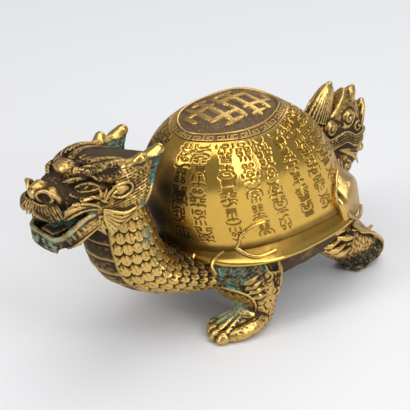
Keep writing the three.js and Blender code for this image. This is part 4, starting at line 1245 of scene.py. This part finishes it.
def mane():
    """Swept locks of hair behind the cheeks, the ears and the cheek locks."""
    half = Clay()
    root = through([(9.8, -68.0, 78.6), (11.4, -70.0, 75.6), (12.3, -72.0, 72.0), (12.6, -73.6, 68.6),
                    (12.4, -75.0, 65.2), (11.8, -76.2, 62.4)], 17)
    tips = [(11.6, -51.6, 78.4), (13.4, -54.2, 76.2), (15.6, -57.4, 73.0), (16.9, -59.8, 69.8),
            (17.4, -62.6, 66.4)]
    edge = through([(9.8, -50.4, 79.4), *tips], 17)
    for k, (a, b) in enumerate(zip(root, edge)):
        first, second = a * 0.68 + b * 0.32, a * 0.3 + b * 0.7
        if k % 2 == 0:
            half.strand([(*(a - (1.4, 0, 0)), 1.9), (*(first - (0.4, 0, 0.4)), 1.9),
                         (*(second - (0.6, 0, 0.5)), 1.6), (*(b - (0.3, 0.5, 0.3)), 0.75)], 22, 12)
        lift = np.array([0.86, -0.3, 0.4])
        half.strand([(*(a + lift * 0.5), 0.28), (*(first + lift * 1.5 - (0, 0, 0.4)), 0.44),
                     (*(second + lift * 1.1 - (0, 0, 0.5)), 0.44), (*(b + (0.1, 0.4, 0.1)), 0.34)], 26, 8)
    half.strand([(*(row + (0, 0.1, 0)), 0.55) for row in edge[2:]], 34, 8)
    # Cheek: rounded pad under the ear, with bright curved locks that fall over the top of the neck
    half.strand([(9.5, -75.6, 62.4, 2.8, 3.8), (11.4, -72.6, 61.8, 2.9, 3.9), (13, -68.8, 62.4, 2.4, 3.2),
                 (14.6, -65.6, 63.6, 1.2, 1.8)], 20, 16, flat=(0, 0.2, 1))
    for k in range(6):
        f = k / 5
        half.strand([(13 - 0.5 * f, -77.4 + 0.4 * f, 67.8 - 3.8 * f, 0.42),
                     (15 - 1.4 * f, -74.4 - 1.6 * f, 66.5 - 5 * f, 0.74),
                     (16.6 - 2.4 * f, -70.4 - 4.2 * f, 65.4 - 7.2 * f, 0.76),
                     (17.4 - 4.2 * f, -66 - 8.4 * f, 66.2 - 10 * f, 0.3)], 22, 8)
    # Ear: a small hollow leaf with a rolled edge
    half.strand([(12.6, -76, 71, 0.5, 0.5), (13.4, -73.2, 72.6, 1.6, 0.7), (14.2, -69.6, 73.2, 1.7, 0.7),
                 (14.4, -67.4, 73, 0.9, 0.5)], 20, 12, flat=(1, -0.5, 0.1))
    half.strand([(13, -76.4, 70.2, 0.4), (13.7, -75.2, 73.2, 0.5), (14.3, -72.8, 75.3, 0.55),
                 (14.7, -70, 75.9, 0.58), (15, -67.2, 75.3, 0.58), (15, -65.9, 73.4, 0.55),
                 (15, -67.2, 71.4, 0.5), (14.8, -70, 70.6, 0.48), (14.3, -72.8, 71.2, 0.42),
                 (14, -73.9, 72.6, 0.36), (14.2, -72.2, 73.4, 0.3)], 54, 8)
    skin = half.mirrored().fused("mane", MANE_VOXEL, 1)
    rough = 0.12 * (grain(skin.co, 0.8, 71) - 0.5) + 0.1 * (grain(skin.co, 2.0, 72) - 0.5)
    skin.raised(rough)
    x, y, z = skin.co.T
    ax = np.abs(x)
    skin.attribute("relief", np.clip(skin.relief(6, 36) + 0.06, 0, 1))
    folded = np.stack([ax, y, z], 1)
    away = path_distance(folded, [(10.6, -50.6, 79.4), *tips])
    stripe = ramp(2.8, 0.8, away) * ramp(80, 78.4, z) * ramp(0.3, 0.62, grain(skin.co, 2.2, 73))
    # Painted shade: the back of the mane, towards the shell, and its rear half are darkened; the patches by
    # the ear and the edge stripe are darkened too.
    back = ramp(1.0, 3.0, (folded - (14, -60, 70)) @ (0.2, 0.75, -0.2))
    dusky = spots(folded, (12, -68, 74, 4), (11, -72, 72, 3))
    soot_and_shade = 0.55 * back + 0.4 * dusky + 0.18 * (y > -66) + 0.2 * stripe
    skin.stain_and_shade(np.maximum(0.9 * stripe, 0.5 * back * (ax > 9) * ramp(80, 77, z)), np.clip(soot_and_shade, 0, 1), 0.12)
    return skin


def tail():
    """The upright flame tail with its grooves, curls and knobs."""
    clay = Clay()
    side = (1, 0, 0)
    clay.strand([(0, 51, 25.4, 2.2, 2.6), (0, 50.6, 29.6, 3.4, 6), (0, 52, 34, 4.4, 8.6),
                 (0, 54.4, 39, 5, 10), (0, 54.8, 45, 5.2, 10.8), (0, 52.4, 50.6, 5.2, 12.2),
                 (0, 48.6, 55.4, 4.6, 13), (0, 45.6, 59, 3.6, 12)], 40, 22, flat=(0, 1, 0))
    clay.strand([(0, 38, 26, 6.5, 4.5), (0, 44, 29, 5.8, 6.4), (0, 45, 37, 4.8, 6.6), (0, 43, 46, 4.4, 6),
                 (0, 38, 54, 4, 5)], 26, 18, flat=(0, 1, 0))
    flames = [((0, 39.6, 56.8), (0, 42.8, 64), (0, 46.9, 71.6), 7.6, 11),
              ((0, 53.8, 54.2), (0, 56.2, 60.2), (0, 60.2, 66.1), 5.4, 9),
              ((0, 62, 48.4), (0, 63.9, 53), (0, 65.8, 58.4), 2.9, 5)]
    for root, mid, tip, wide, count in flames:
        lean = np.array([0, tip[2] - root[2], -(tip[1] - root[1])]) / math.dist(root, tip)
        near_tip = (0, tip[1] * 0.68 + mid[1] * 0.32 + 0.2, tip[2] * 0.68 + mid[2] * 0.32)
        clay.strand([(*root, wide, 3.9), (*mid, wide * 0.70, 3.1), (*near_tip, wide * 0.36, 2),
                     (0, tip[1], tip[2] - 0.9, 0.95, 0.95)], 26, 18, flat=side)
        for face in (-1, 1):
            for k in range(count):
                spread = k / (count - 1) * 2 - 1
                deep = math.sqrt(1 - (spread * 0.93) ** 2)
                r = np.array(root) + lean * spread * wide * 0.95 + (face * 3.8 * deep, 0, 0)
                m = np.array(mid) + lean * spread * wide * 0.66 + (face * 3.05 * deep, 0, 0)
                near = np.array(near_tip) + lean * spread * wide * 0.33 + (face * 1.9 * deep, 0, 0)
                clay.strand([(*r, 0.42), (*m, 0.42), (*near, 0.36),
                             (tip[0] + face * 0.55, tip[1] - 0.1, tip[2] - 1.3, 0.3)], 22, 8)
        clay.ball((0, tip[1], tip[2] - 1.2), (1.15, 1.2, 1.4))
    for face in (-1, 1):
        out = (face, 0.1, 0.05)
        # Volutes drawn with two lines each, and the bands that flow from one to the next
        clay.curl((face * 5.2, 53.4, 55.6), out, 200 if face > 0 else -20, 3.5, 1.7, 0.5, rise=0.7,
                  hand=face)
        clay.curl((face * 5, 53.4, 55.6), out, 215 if face > 0 else -35, 4.5, 0.8, 0.4, rise=0.2, hand=face)
        clay.ball((face * 4.1, 53.4, 55.6), (1.6, 3.6, 3.4))
        clay.curl((face * 5, 43.8, 54), out, 20, 3, 1.5, 0.48, rise=0.6, hand=-face)
        clay.ball((face * 4, 43.8, 54), (1.6, 3.2, 3.2))
        clay.curl((face * 5.1, 58.8, 50.2), out, 60, 2.3, 1.3, 0.44, rise=0.5, hand=face)
        for k in range(5):
            z = 1.15 * k
            clay.strand([(face * 4.4, 39.6 + 0.4 * k, 53 - z, 0.35),
                         (face * 5.1, 43 + 0.3 * k, 49.4 - z, 0.5), (face * 5.3, 48, 49.6 - z, 0.5),
                         (face * 5.4, 52.6, 50 - z, 0.5), (face * 5.2, 57.6, 46.8 - z, 0.5),
                         (face * 4.2, 62.4, 46.4 - z, 0.45), (face * 2.4, 65.4, 46.2 - z * 0.9, 0.3)], 34,
                        8)
        for k in range(4):
            clay.strand([(face * 4.9, 48.4 + 1.5 * k, 42.8 - 0.9 * k, 0.3),
                         (face * 4.9, 52.8 + 1.3 * k, 41.8 - 1.4 * k, 0.45),
                         (face * 4.5, 57.4 + 0.9 * k, 40 - 2 * k, 0.45),
                         (face * 3.2, 61.4 + 0.2 * k, 38.6 - 2.3 * k, 0.3)], 20, 8)
        clay.curl((face * 4.9, 54, 33.6), out, 90, 2.6, 1.6, 0.42, rise=0.5, hand=-face)
        clay.ball((face * 3.6, 54, 33.6), (1.6, 2.8, 2.8))
        for k in range(3):
            clay.strand([(face * 4.3, 47.8 + 1.4 * k, 39 - 0.6 * k, 0.3),
                         (face * 4.3, 49 + 1.4 * k, 34 - 0.4 * k, 0.42),
                         (face * 3.2, 52.2 + 0.8 * k, 29.4, 0.4),
                         (face * 1.8, 53.4 + 0.3 * k, 26.4, 0.25)], 20, 8)
    for y, z, r in ((66.3, 44.4, 2.0), (65.6, 36.9, 2.1)):
        clay.ball((0, y, z), (r, r * 1.05, r))
        clay.strand([(0, 58.5, z + 0.8, 3), (0, 62.6, z + 0.4, 2), (0, y - 0.6, z, 1.5)], 14)
    skin = clay.fused("tail", TAIL_VOXEL, 1)
    skin.raised(0.12 * (grain(skin.co, 0.8, 81) - 0.5) + 0.12 * (grain(skin.co, 2.4, 82) - 0.5))
    _, y, z = skin.co.T
    skin.attribute("relief", np.clip(skin.relief(7, 40) + 0.03, 0, 1))
    root = ramp(46, 36, y) * ramp(66, 58, z)
    soot_and_shade = 0.6 * root + 0.4 * ramp(56, 48, z) * ramp(38, 44, z)
    skin.stain_and_shade(0.18 * spots(skin.co, (3, 38, 56, 4)), soot_and_shade, 0.22 + 0.5 * ramp(40, 30, z))
    return skin


# finish


class Nodes:
    """A material's node tree, with short ways to add nodes and join them."""

    def __init__(self, name):
        self.material = bpy.data.materials.new(name)
        self.material.use_nodes = True
        self.tree = self.material.node_tree
        self.tree.nodes.clear()

    def add(self, kind, values=None, **settings):
        """A node with its settings, and its inputs set to numbers or joined to sockets."""
        node = self.tree.nodes.new(kind)
        for name, value in settings.items():
            setattr(node, name, value)
        for key, value in (values or {}).items():
            if isinstance(value, bpy.types.NodeSocket):
                self.tree.links.new(value, node.inputs[key])
            else:
                node.inputs[key].default_value = value
        return node

    def sum(self, operation, a, b=0.0, c=0.0, clamp=False):
        """The result of one sum."""
        return self.add("ShaderNodeMath", {0: a, 1: b, 2: c}, operation=operation,
                        use_clamp=clamp).outputs[0]

    def times(self, a, b):
        """a times b."""
        return self.sum("MULTIPLY", a, b)

    def less(self, a, b):
        """a less b."""
        return self.sum("SUBTRACT", a, b)

    def plus(self, total, *others):
        """All the values together."""
        for other in others:
            total = self.sum("ADD", total, other)
        return total

    def swing(self, noise, strength):
        """Noise about zero, this strong."""
        return self.times(self.less(noise, 0.5), strength)

    def step(self, value, low, high, to_low=0.0, to_high=1.0):
        """A smooth step of value between low and high."""
        sockets = {"Value": value, "From Min": low, "From Max": high, "To Min": to_low, "To Max": to_high}
        node = self.add("ShaderNodeMapRange", sockets, interpolation_type="SMOOTHSTEP")
        return node.outputs[0]

    def mix(self, share, a, b, **settings):
        """Colour a turning into colour b by share."""
        return self.add("ShaderNodeMix", {0: share, 6: a, 7: b}, data_type="RGBA", **settings).outputs[2]

    def noise(self, place, scale, detail=3.0, rough=0.55):
        """Noise lumps, scale of them a millimetre."""
        return self.add(
            "ShaderNodeTexNoise", {"Vector": place, "Scale": scale, "Detail": detail, "Roughness": rough}
        ).outputs["Fac"]


def aged_brass(name, finish, shine=0.3, wear=0.0, contrast=1.0, grit=0.3, depth=0.06, tint=(1.0, 1.0, 1.0)):
    """Brass worn bright on its ridges, brown in its hollows, with the stains and the painted shade that are
    stored on the piece.
    """
    g = Nodes(name)
    place = g.add("ShaderNodeTexCoord").outputs["Object"]
    place = g.add("ShaderNodeMapping", {"Vector": place, "Scale": (1000, 1000, 1000)}).outputs[0]
    relief = g.add("ShaderNodeAttribute", attribute_name="relief").outputs["Fac"]
    stain_and_shade = g.add("ShaderNodeAttribute", attribute_name="stain_and_shade")
    split = g.add("ShaderNodeSeparateColor", {"Color": stain_and_shade.outputs["Color"]})
    green, soot_and_shade, matte = split.outputs
    pale = stain_and_shade.outputs["Alpha"]

    lumps = g.noise(place, 0.11, 4.0)
    specks = g.noise(place, 0.9, 4.0, 0.6)
    fine = g.noise(place, 3.6, 3.0, 0.65)

    # Worn bright from the ridges down; the broad hollows and the black channel also darken it as painted
    # shade
    worn = g.sum("MULTIPLY_ADD", g.less(relief, 0.5), contrast, 0.5 + wear)
    worn = g.plus(worn, g.swing(lumps, 0.42), g.swing(specks, 0.30))
    worn = g.less(worn, g.times(soot_and_shade, 0.62))
    colour = g.mix(g.step(worn, 0.10, 0.42), (*finish.dark, 1), (*finish.middle, 1))
    colour = g.mix(g.step(worn, 0.40, 0.78), colour, (*finish.bright, 1))
    warm = g.mix(g.step(lumps, 0.35, 0.65), (tint[0] * 0.97, tint[1] * 0.95, tint[2] * 0.86, 1), (*tint, 1))
    colour = g.mix(1.0, colour, warm, blend_type="MULTIPLY")

    # Matte tarnish, then the sooty patina and painted shade
    dull = g.times(matte, g.step(g.plus(specks, g.times(lumps, 0.6)), 0.45, 0.95, 0.45))
    colour = g.mix(g.times(dull, 0.72), colour, (*finish.tarnish, 1))
    black = g.times(soot_and_shade, g.step(specks, 0.30, 0.62, 0.55))
    colour = g.mix(g.times(black, 0.80), colour, (*finish.soot_and_shade, 1))

    # Verdigris in the hollows, then the pale bloom
    crust = g.plus(g.times(green, 1.15), g.swing(specks, 1.5), g.swing(lumps, 0.9))
    crust = g.plus(crust, g.times(g.less(0.55, relief), 0.9))
    crust = g.times(g.step(crust, 0.42, 0.72), g.step(green, 0.02, 0.12))
    teal = g.mix(g.step(fine, 0.48, 0.74), (*finish.verdigris, 1), (*finish.bloom, 1))
    teal = g.mix(g.step(specks, 0.42, 0.60), (*finish.verdigris_deep, 1), teal)
    colour = g.mix(crust, colour, teal)
    film = g.times(pale, g.step(g.plus(specks, g.times(fine, 0.5)), 0.50, 0.86, 0.25))
    colour = g.mix(film, colour, (*finish.bloom, 1))

    # How far bare metal shows, how rough it is, and the smallest pits
    covered = g.sum("MAXIMUM", crust, film)
    metal = g.less(g.less(1.0, g.times(black, 0.42)), g.times(dull, 0.34))
    metal = g.times(metal, g.less(1.0, covered))
    rough = g.step(worn, 0.15, 0.75, min(0.95, shine + 0.30), shine)
    rough = g.plus(rough, g.swing(fine, 0.16), g.times(dull, 0.22))
    rough = g.sum("ADD", rough, g.times(g.sum("MAXIMUM", covered, black), 0.42), clamp=True)
    height = g.plus(g.times(specks, 0.7), g.times(fine, 0.5))
    height = g.plus(height, g.times(g.plus(crust, film), g.times(fine, 1.8)))
    bump = g.add("ShaderNodeBump", {"Strength": grit, "Distance": depth * MM, "Height": height})
    shader = g.add("ShaderNodeBsdfPrincipled",
                   {"Base Color": colour, "Metallic": metal, "Roughness": rough,
                    "Normal": bump.outputs[0]})
    g.add("ShaderNodeOutputMaterial", {"Surface": shader.outputs[0]})
    return g.material


# stage


def row(x, y, z):
    """A point of the figure in metres, in the row's place."""
    return Vector((x, y + SETBACK, z)) * MM


def floor_and_backdrop(sizes):
    """A wide pale floor, and pale air round it."""
    bm = bmesh.new()
    bmesh.ops.create_grid(bm, x_segments=1, y_segments=1, size=6)
    mesh = bpy.data.meshes.new("studio_floor")
    bm.to_mesh(mesh)
    bm.free()
    g = Nodes("floor_paper")
    shader = g.add("ShaderNodeBsdfPrincipled", {"Base Color": (*sizes.floor, 1), "Roughness": 0.75})
    g.add("ShaderNodeOutputMaterial", {"Surface": shader.outputs[0]})
    mesh.materials.append(g.material)
    floor = bpy.data.objects.new("studio_floor", mesh)
    bpy.context.scene.collection.objects.link(floor)
    world = bpy.data.worlds.new("studio_air")
    world.use_nodes = True
    world.node_tree.nodes["Background"].inputs["Color"].default_value = (0.92, 0.95, 1.0, 1)
    world.node_tree.nodes["Background"].inputs["Strength"].default_value = 0.30
    bpy.context.scene.world = world
    bpy.context.scene.view_settings.view_transform = "Standard"


def lamp(name, place, aim, size, power, colour=(1, 1, 1)):
    """A soft box at place (turn and height in degrees, distance in metres) facing aim."""
    turn, height, distance = place
    a, e = math.radians(turn), math.radians(height)
    light = bpy.data.lights.new(name, "AREA")
    light.shape = "RECTANGLE"
    light.size, light.size_y = size
    light.energy = power
    light.color = colour
    item = bpy.data.objects.new(name, light)
    bpy.context.scene.collection.objects.link(item)
    back = Vector((math.sin(a) * math.cos(e), -math.cos(a) * math.cos(e), math.sin(e)))
    item.location = Vector(aim) + back * distance
    item.rotation_mode = "QUATERNION"
    item.rotation_quaternion = back.to_track_quat("Z", "Y")
    return item


def lamps(sizes):
    """Soft boxes to the left, right and above."""
    k = sizes.strength
    aim = row(0, -10, 40)
    lamp("left_box", (-12, 28, 0.9), aim, (0.22, 0.8), 3.4 * k)
    lamp("right_box", (100, 32, 0.9), aim, (0.3, 0.8), 3.4 * k)
    lamp("top_box", (60, 82, 1.0), aim, (0.9, 0.9), 5 * k)
    lamp("rear_box", (205, 35, 1.2), aim, (0.8, 0.6), 3 * k)


def camera(sizes):
    """The camera at the photograph's angle."""
    data = bpy.data.cameras.new("photo_camera")
    data.lens = sizes.lens
    data.sensor_width = 36
    item = bpy.data.objects.new("photo_camera", data)
    bpy.context.scene.collection.objects.link(item)
    item.location = row(390.1, -376.7, 340.6)
    item.rotation_mode = "QUATERNION"
    item.rotation_quaternion = (item.location - row(-7.79, -11.51, 35.68)).to_track_quat("Z", "Y")
    bpy.context.scene.camera = item


# settings


class TurtleFinish(bpy.types.PropertyGroup):
    """Colours of the brass, of what time has left on it, and of the painted shade."""

    bright: FloatVectorProperty(name="Polished brass", description="Colour of the worn ridges",
                                subtype="COLOR", default=(0.72, 0.48, 0.15))
    middle: FloatVectorProperty(name="Handled brass", description="Colour of even skin", subtype="COLOR",
                                default=(0.33, 0.20, 0.050))
    dark: FloatVectorProperty(name="Brown brass", description="Colour of the hollows", subtype="COLOR",
                              default=(0.046, 0.027, 0.011))
    # The black colour serves both the sooty patina and the painted shade in creases, under the rim and
    # behind the neck.
    soot_and_shade: FloatVectorProperty(name="Soot", description="Colour of the black patina", subtype="COLOR",
                              default=(0.022, 0.017, 0.012))
    tarnish: FloatVectorProperty(name="Tarnish", description="Colour of the matte brown tarnish",
                                 subtype="COLOR", default=(0.36, 0.235, 0.135))
    verdigris: FloatVectorProperty(name="Verdigris", description="Colour of the green crust",
                                   subtype="COLOR", default=(0.062, 0.165, 0.132))
    verdigris_deep: FloatVectorProperty(name="Deep verdigris", description="Colour of the oldest crust",
                                        subtype="COLOR", default=(0.022, 0.055, 0.047))
    bloom: FloatVectorProperty(name="Pale bloom", description="Colour of the chalky bloom",
                               subtype="COLOR", default=(0.36, 0.48, 0.33))


class TurtleShell(bpy.types.PropertyGroup):
    """Sizes of the work on the shell."""

    mark_depth: FloatProperty(name="Stroke depth", description="Depth of the incised strokes",
                              default=0.00034, unit="LENGTH", precision=5)
    mark_width: FloatProperty(name="Stroke width", description="Width of the incised strokes",
                              default=0.00052, unit="LENGTH", precision=5)
    marks_per_column: IntProperty(name="Groups in a column",
                                  description="Groups of strokes from the border to the skirt", default=5,
                                  min=1, max=8)
    fret_units: IntProperty(name="Key units",
                            description="Squared spirals round the border; an even number", default=28,
                            min=8, max=60)
    fret_relief: FloatProperty(name="Key relief", description="Depth between the lines of the key border",
                               default=0.0004, unit="LENGTH", precision=5)
    emblem_relief: FloatProperty(name="Emblem relief",
                                 description="Height of the emblem above its ground", default=0.0009,
                                 unit="LENGTH", precision=5)


class TurtleCarving(bpy.types.PropertyGroup):
    """Sizes of the carved work."""

    scale_relief: FloatProperty(name="Scale relief", description="Height of the neck scales",
                                default=0.0010, unit="LENGTH", precision=5)


class TurtleStage(bpy.types.PropertyGroup):
    """The floor, lights and camera."""

    floor: FloatVectorProperty(
        name="Floor", description="Colour of the floor", subtype="COLOR", default=(0.80, 0.80, 0.81))
    strength: FloatProperty(name="Light", description="Strength of all the lamps", default=1.0, min=0.0)
    lens: FloatProperty(
        name="Lens", description="Focal length on a 36 mm sensor", default=143.2, subtype="DISTANCE_CAMERA")


# operators


class TURTLE_OT_shell(bpy.types.Operator):
    """Make the crown, wall, skirt and scrolls of the shell"""

    bl_idname = "turtle.shell"
    bl_label = "Shell"

    def execute(self, context):
        finish, sizes = context.scene.turtle_finish, context.scene.turtle_shell
        polished = aged_brass("polished_shell_brass", finish, shine=0.19, wear=0.20, contrast=1.5,
                              grit=0.22, depth=0.03, tint=(1.04, 0.97, 0.66))
        crown(sizes).placed("shell_crown", polished)
        wall(sizes).placed("shell_wall", polished)
        skirt().placed("shell_skirt", polished)
        lined = aged_brass("scroll_brass", finish, shine=0.24, wear=0.04, contrast=2.4, grit=0.25,
                           depth=0.04)
        scrolls().placed("shell_scrolls", lined)
        return {"FINISHED"}


class TURTLE_OT_body(bpy.types.Operator):
    """Make the belly and the neck"""

    bl_idname = "turtle.body"
    bl_label = "Belly and neck"

    def execute(self, context):
        finish = context.scene.turtle_finish
        carved = aged_brass("carved_brass", finish, shine=0.26, wear=-0.12, contrast=2.6, grit=0.35,
                            depth=0.05)
        belly().placed("belly", carved)
        neck(context.scene.turtle_carving).placed("scaled_neck", carved)
        return {"FINISHED"}


class TURTLE_OT_legs(bpy.types.Operator):
    """Make the four legs, the right front foot set back by a step"""

    bl_idname = "turtle.legs"
    bl_label = "Legs"

    def execute(self, context):
        finish = context.scene.turtle_finish
        hide = aged_brass("leg_brass", finish, shine=0.26, wear=-0.16, contrast=2.7, grit=0.4, depth=0.06)
        front, hind = front_leg(Clay()), hind_leg(Clay())
        leg_skin(front, hind=False, side=1).placed("left_front_leg", hide)
        leg_skin(front.flipped(STEP_BACK), hind=False, side=-1).placed("right_front_leg", hide)
        leg_skin(hind, hind=True, side=1).placed("left_hind_leg", hide)
        leg_skin(hind.flipped(), hind=True, side=-1).placed("right_hind_leg", hide)
        return {"FINISHED"}


class TURTLE_OT_head(bpy.types.Operator):
    """Make the head, horns and mane"""

    bl_idname = "turtle.head"
    bl_label = "Head"

    def execute(self, context):
        finish = context.scene.turtle_finish
        carved = aged_brass("head_brass", finish, shine=0.27, wear=-0.22, contrast=2.8, grit=0.4, depth=0.05)
        head().placed("dragon_head", carved)
        horns().placed("horns", carved)
        mane().placed("mane", carved)
        return {"FINISHED"}


class TURTLE_OT_tail(bpy.types.Operator):
    """Make the flame tail"""

    bl_idname = "turtle.tail"
    bl_label = "Tail"

    def execute(self, context):
        finish = context.scene.turtle_finish
        licked = aged_brass("tail_brass", finish, shine=0.25, wear=-0.18, contrast=2.8, grit=0.3, depth=0.05)
        tail().placed("flame_tail", licked)
        return {"FINISHED"}


class TURTLE_OT_stage(bpy.types.Operator):
    """Make the pale floor, the soft lamps and the camera"""

    bl_idname = "turtle.stage"
    bl_label = "Stage"

    def execute(self, context):
        sizes = context.scene.turtle_stage
        floor_and_backdrop(sizes)
        lamps(sizes)
        camera(sizes)
        return {"FINISHED"}


OPERATORS = [TURTLE_OT_shell, TURTLE_OT_body, TURTLE_OT_legs, TURTLE_OT_head, TURTLE_OT_tail,
             TURTLE_OT_stage]


class TURTLE_PT_panel(bpy.types.Panel):
    """Lists the figure's sizes, colours and steps"""

    bl_label = "Dragon turtle"
    bl_idname = "TURTLE_PT_panel"
    bl_space_type = "VIEW_3D"
    bl_region_type = "UI"
    bl_category = "Dragon turtle"

    def draw(self, context):
        for name in SETTINGS:
            group = getattr(context.scene, name)
            box = self.layout.box()
            for prop in group.bl_rna.properties:
                if prop.identifier not in ("rna_type", "name"):
                    box.prop(group, prop.identifier)
        for kind in OPERATORS:
            self.layout.operator(kind.bl_idname)


SETTINGS = {"turtle_finish": TurtleFinish, "turtle_shell": TurtleShell, "turtle_carving": TurtleCarving,
            "turtle_stage": TurtleStage}


def register():
    """Adds the settings, the steps and the panel."""
    for kind in [*SETTINGS.values(), *OPERATORS, TURTLE_PT_panel]:
        bpy.utils.register_class(kind)
    for name, kind in SETTINGS.items():
        setattr(bpy.types.Scene, name, PointerProperty(type=kind))


def unregister():
    """Takes them out again."""
    for name in SETTINGS:
        delattr(bpy.types.Scene, name)
    for kind in reversed([*SETTINGS.values(), *OPERATORS, TURTLE_PT_panel]):
        bpy.utils.unregister_class(kind)


def main():
    """Makes the whole figure and its stage."""
    register()
    for kind in OPERATORS:
        group, step = kind.bl_idname.split(".")
        getattr(getattr(bpy.ops, group), step)()


if __name__ == "__main__":
    main()
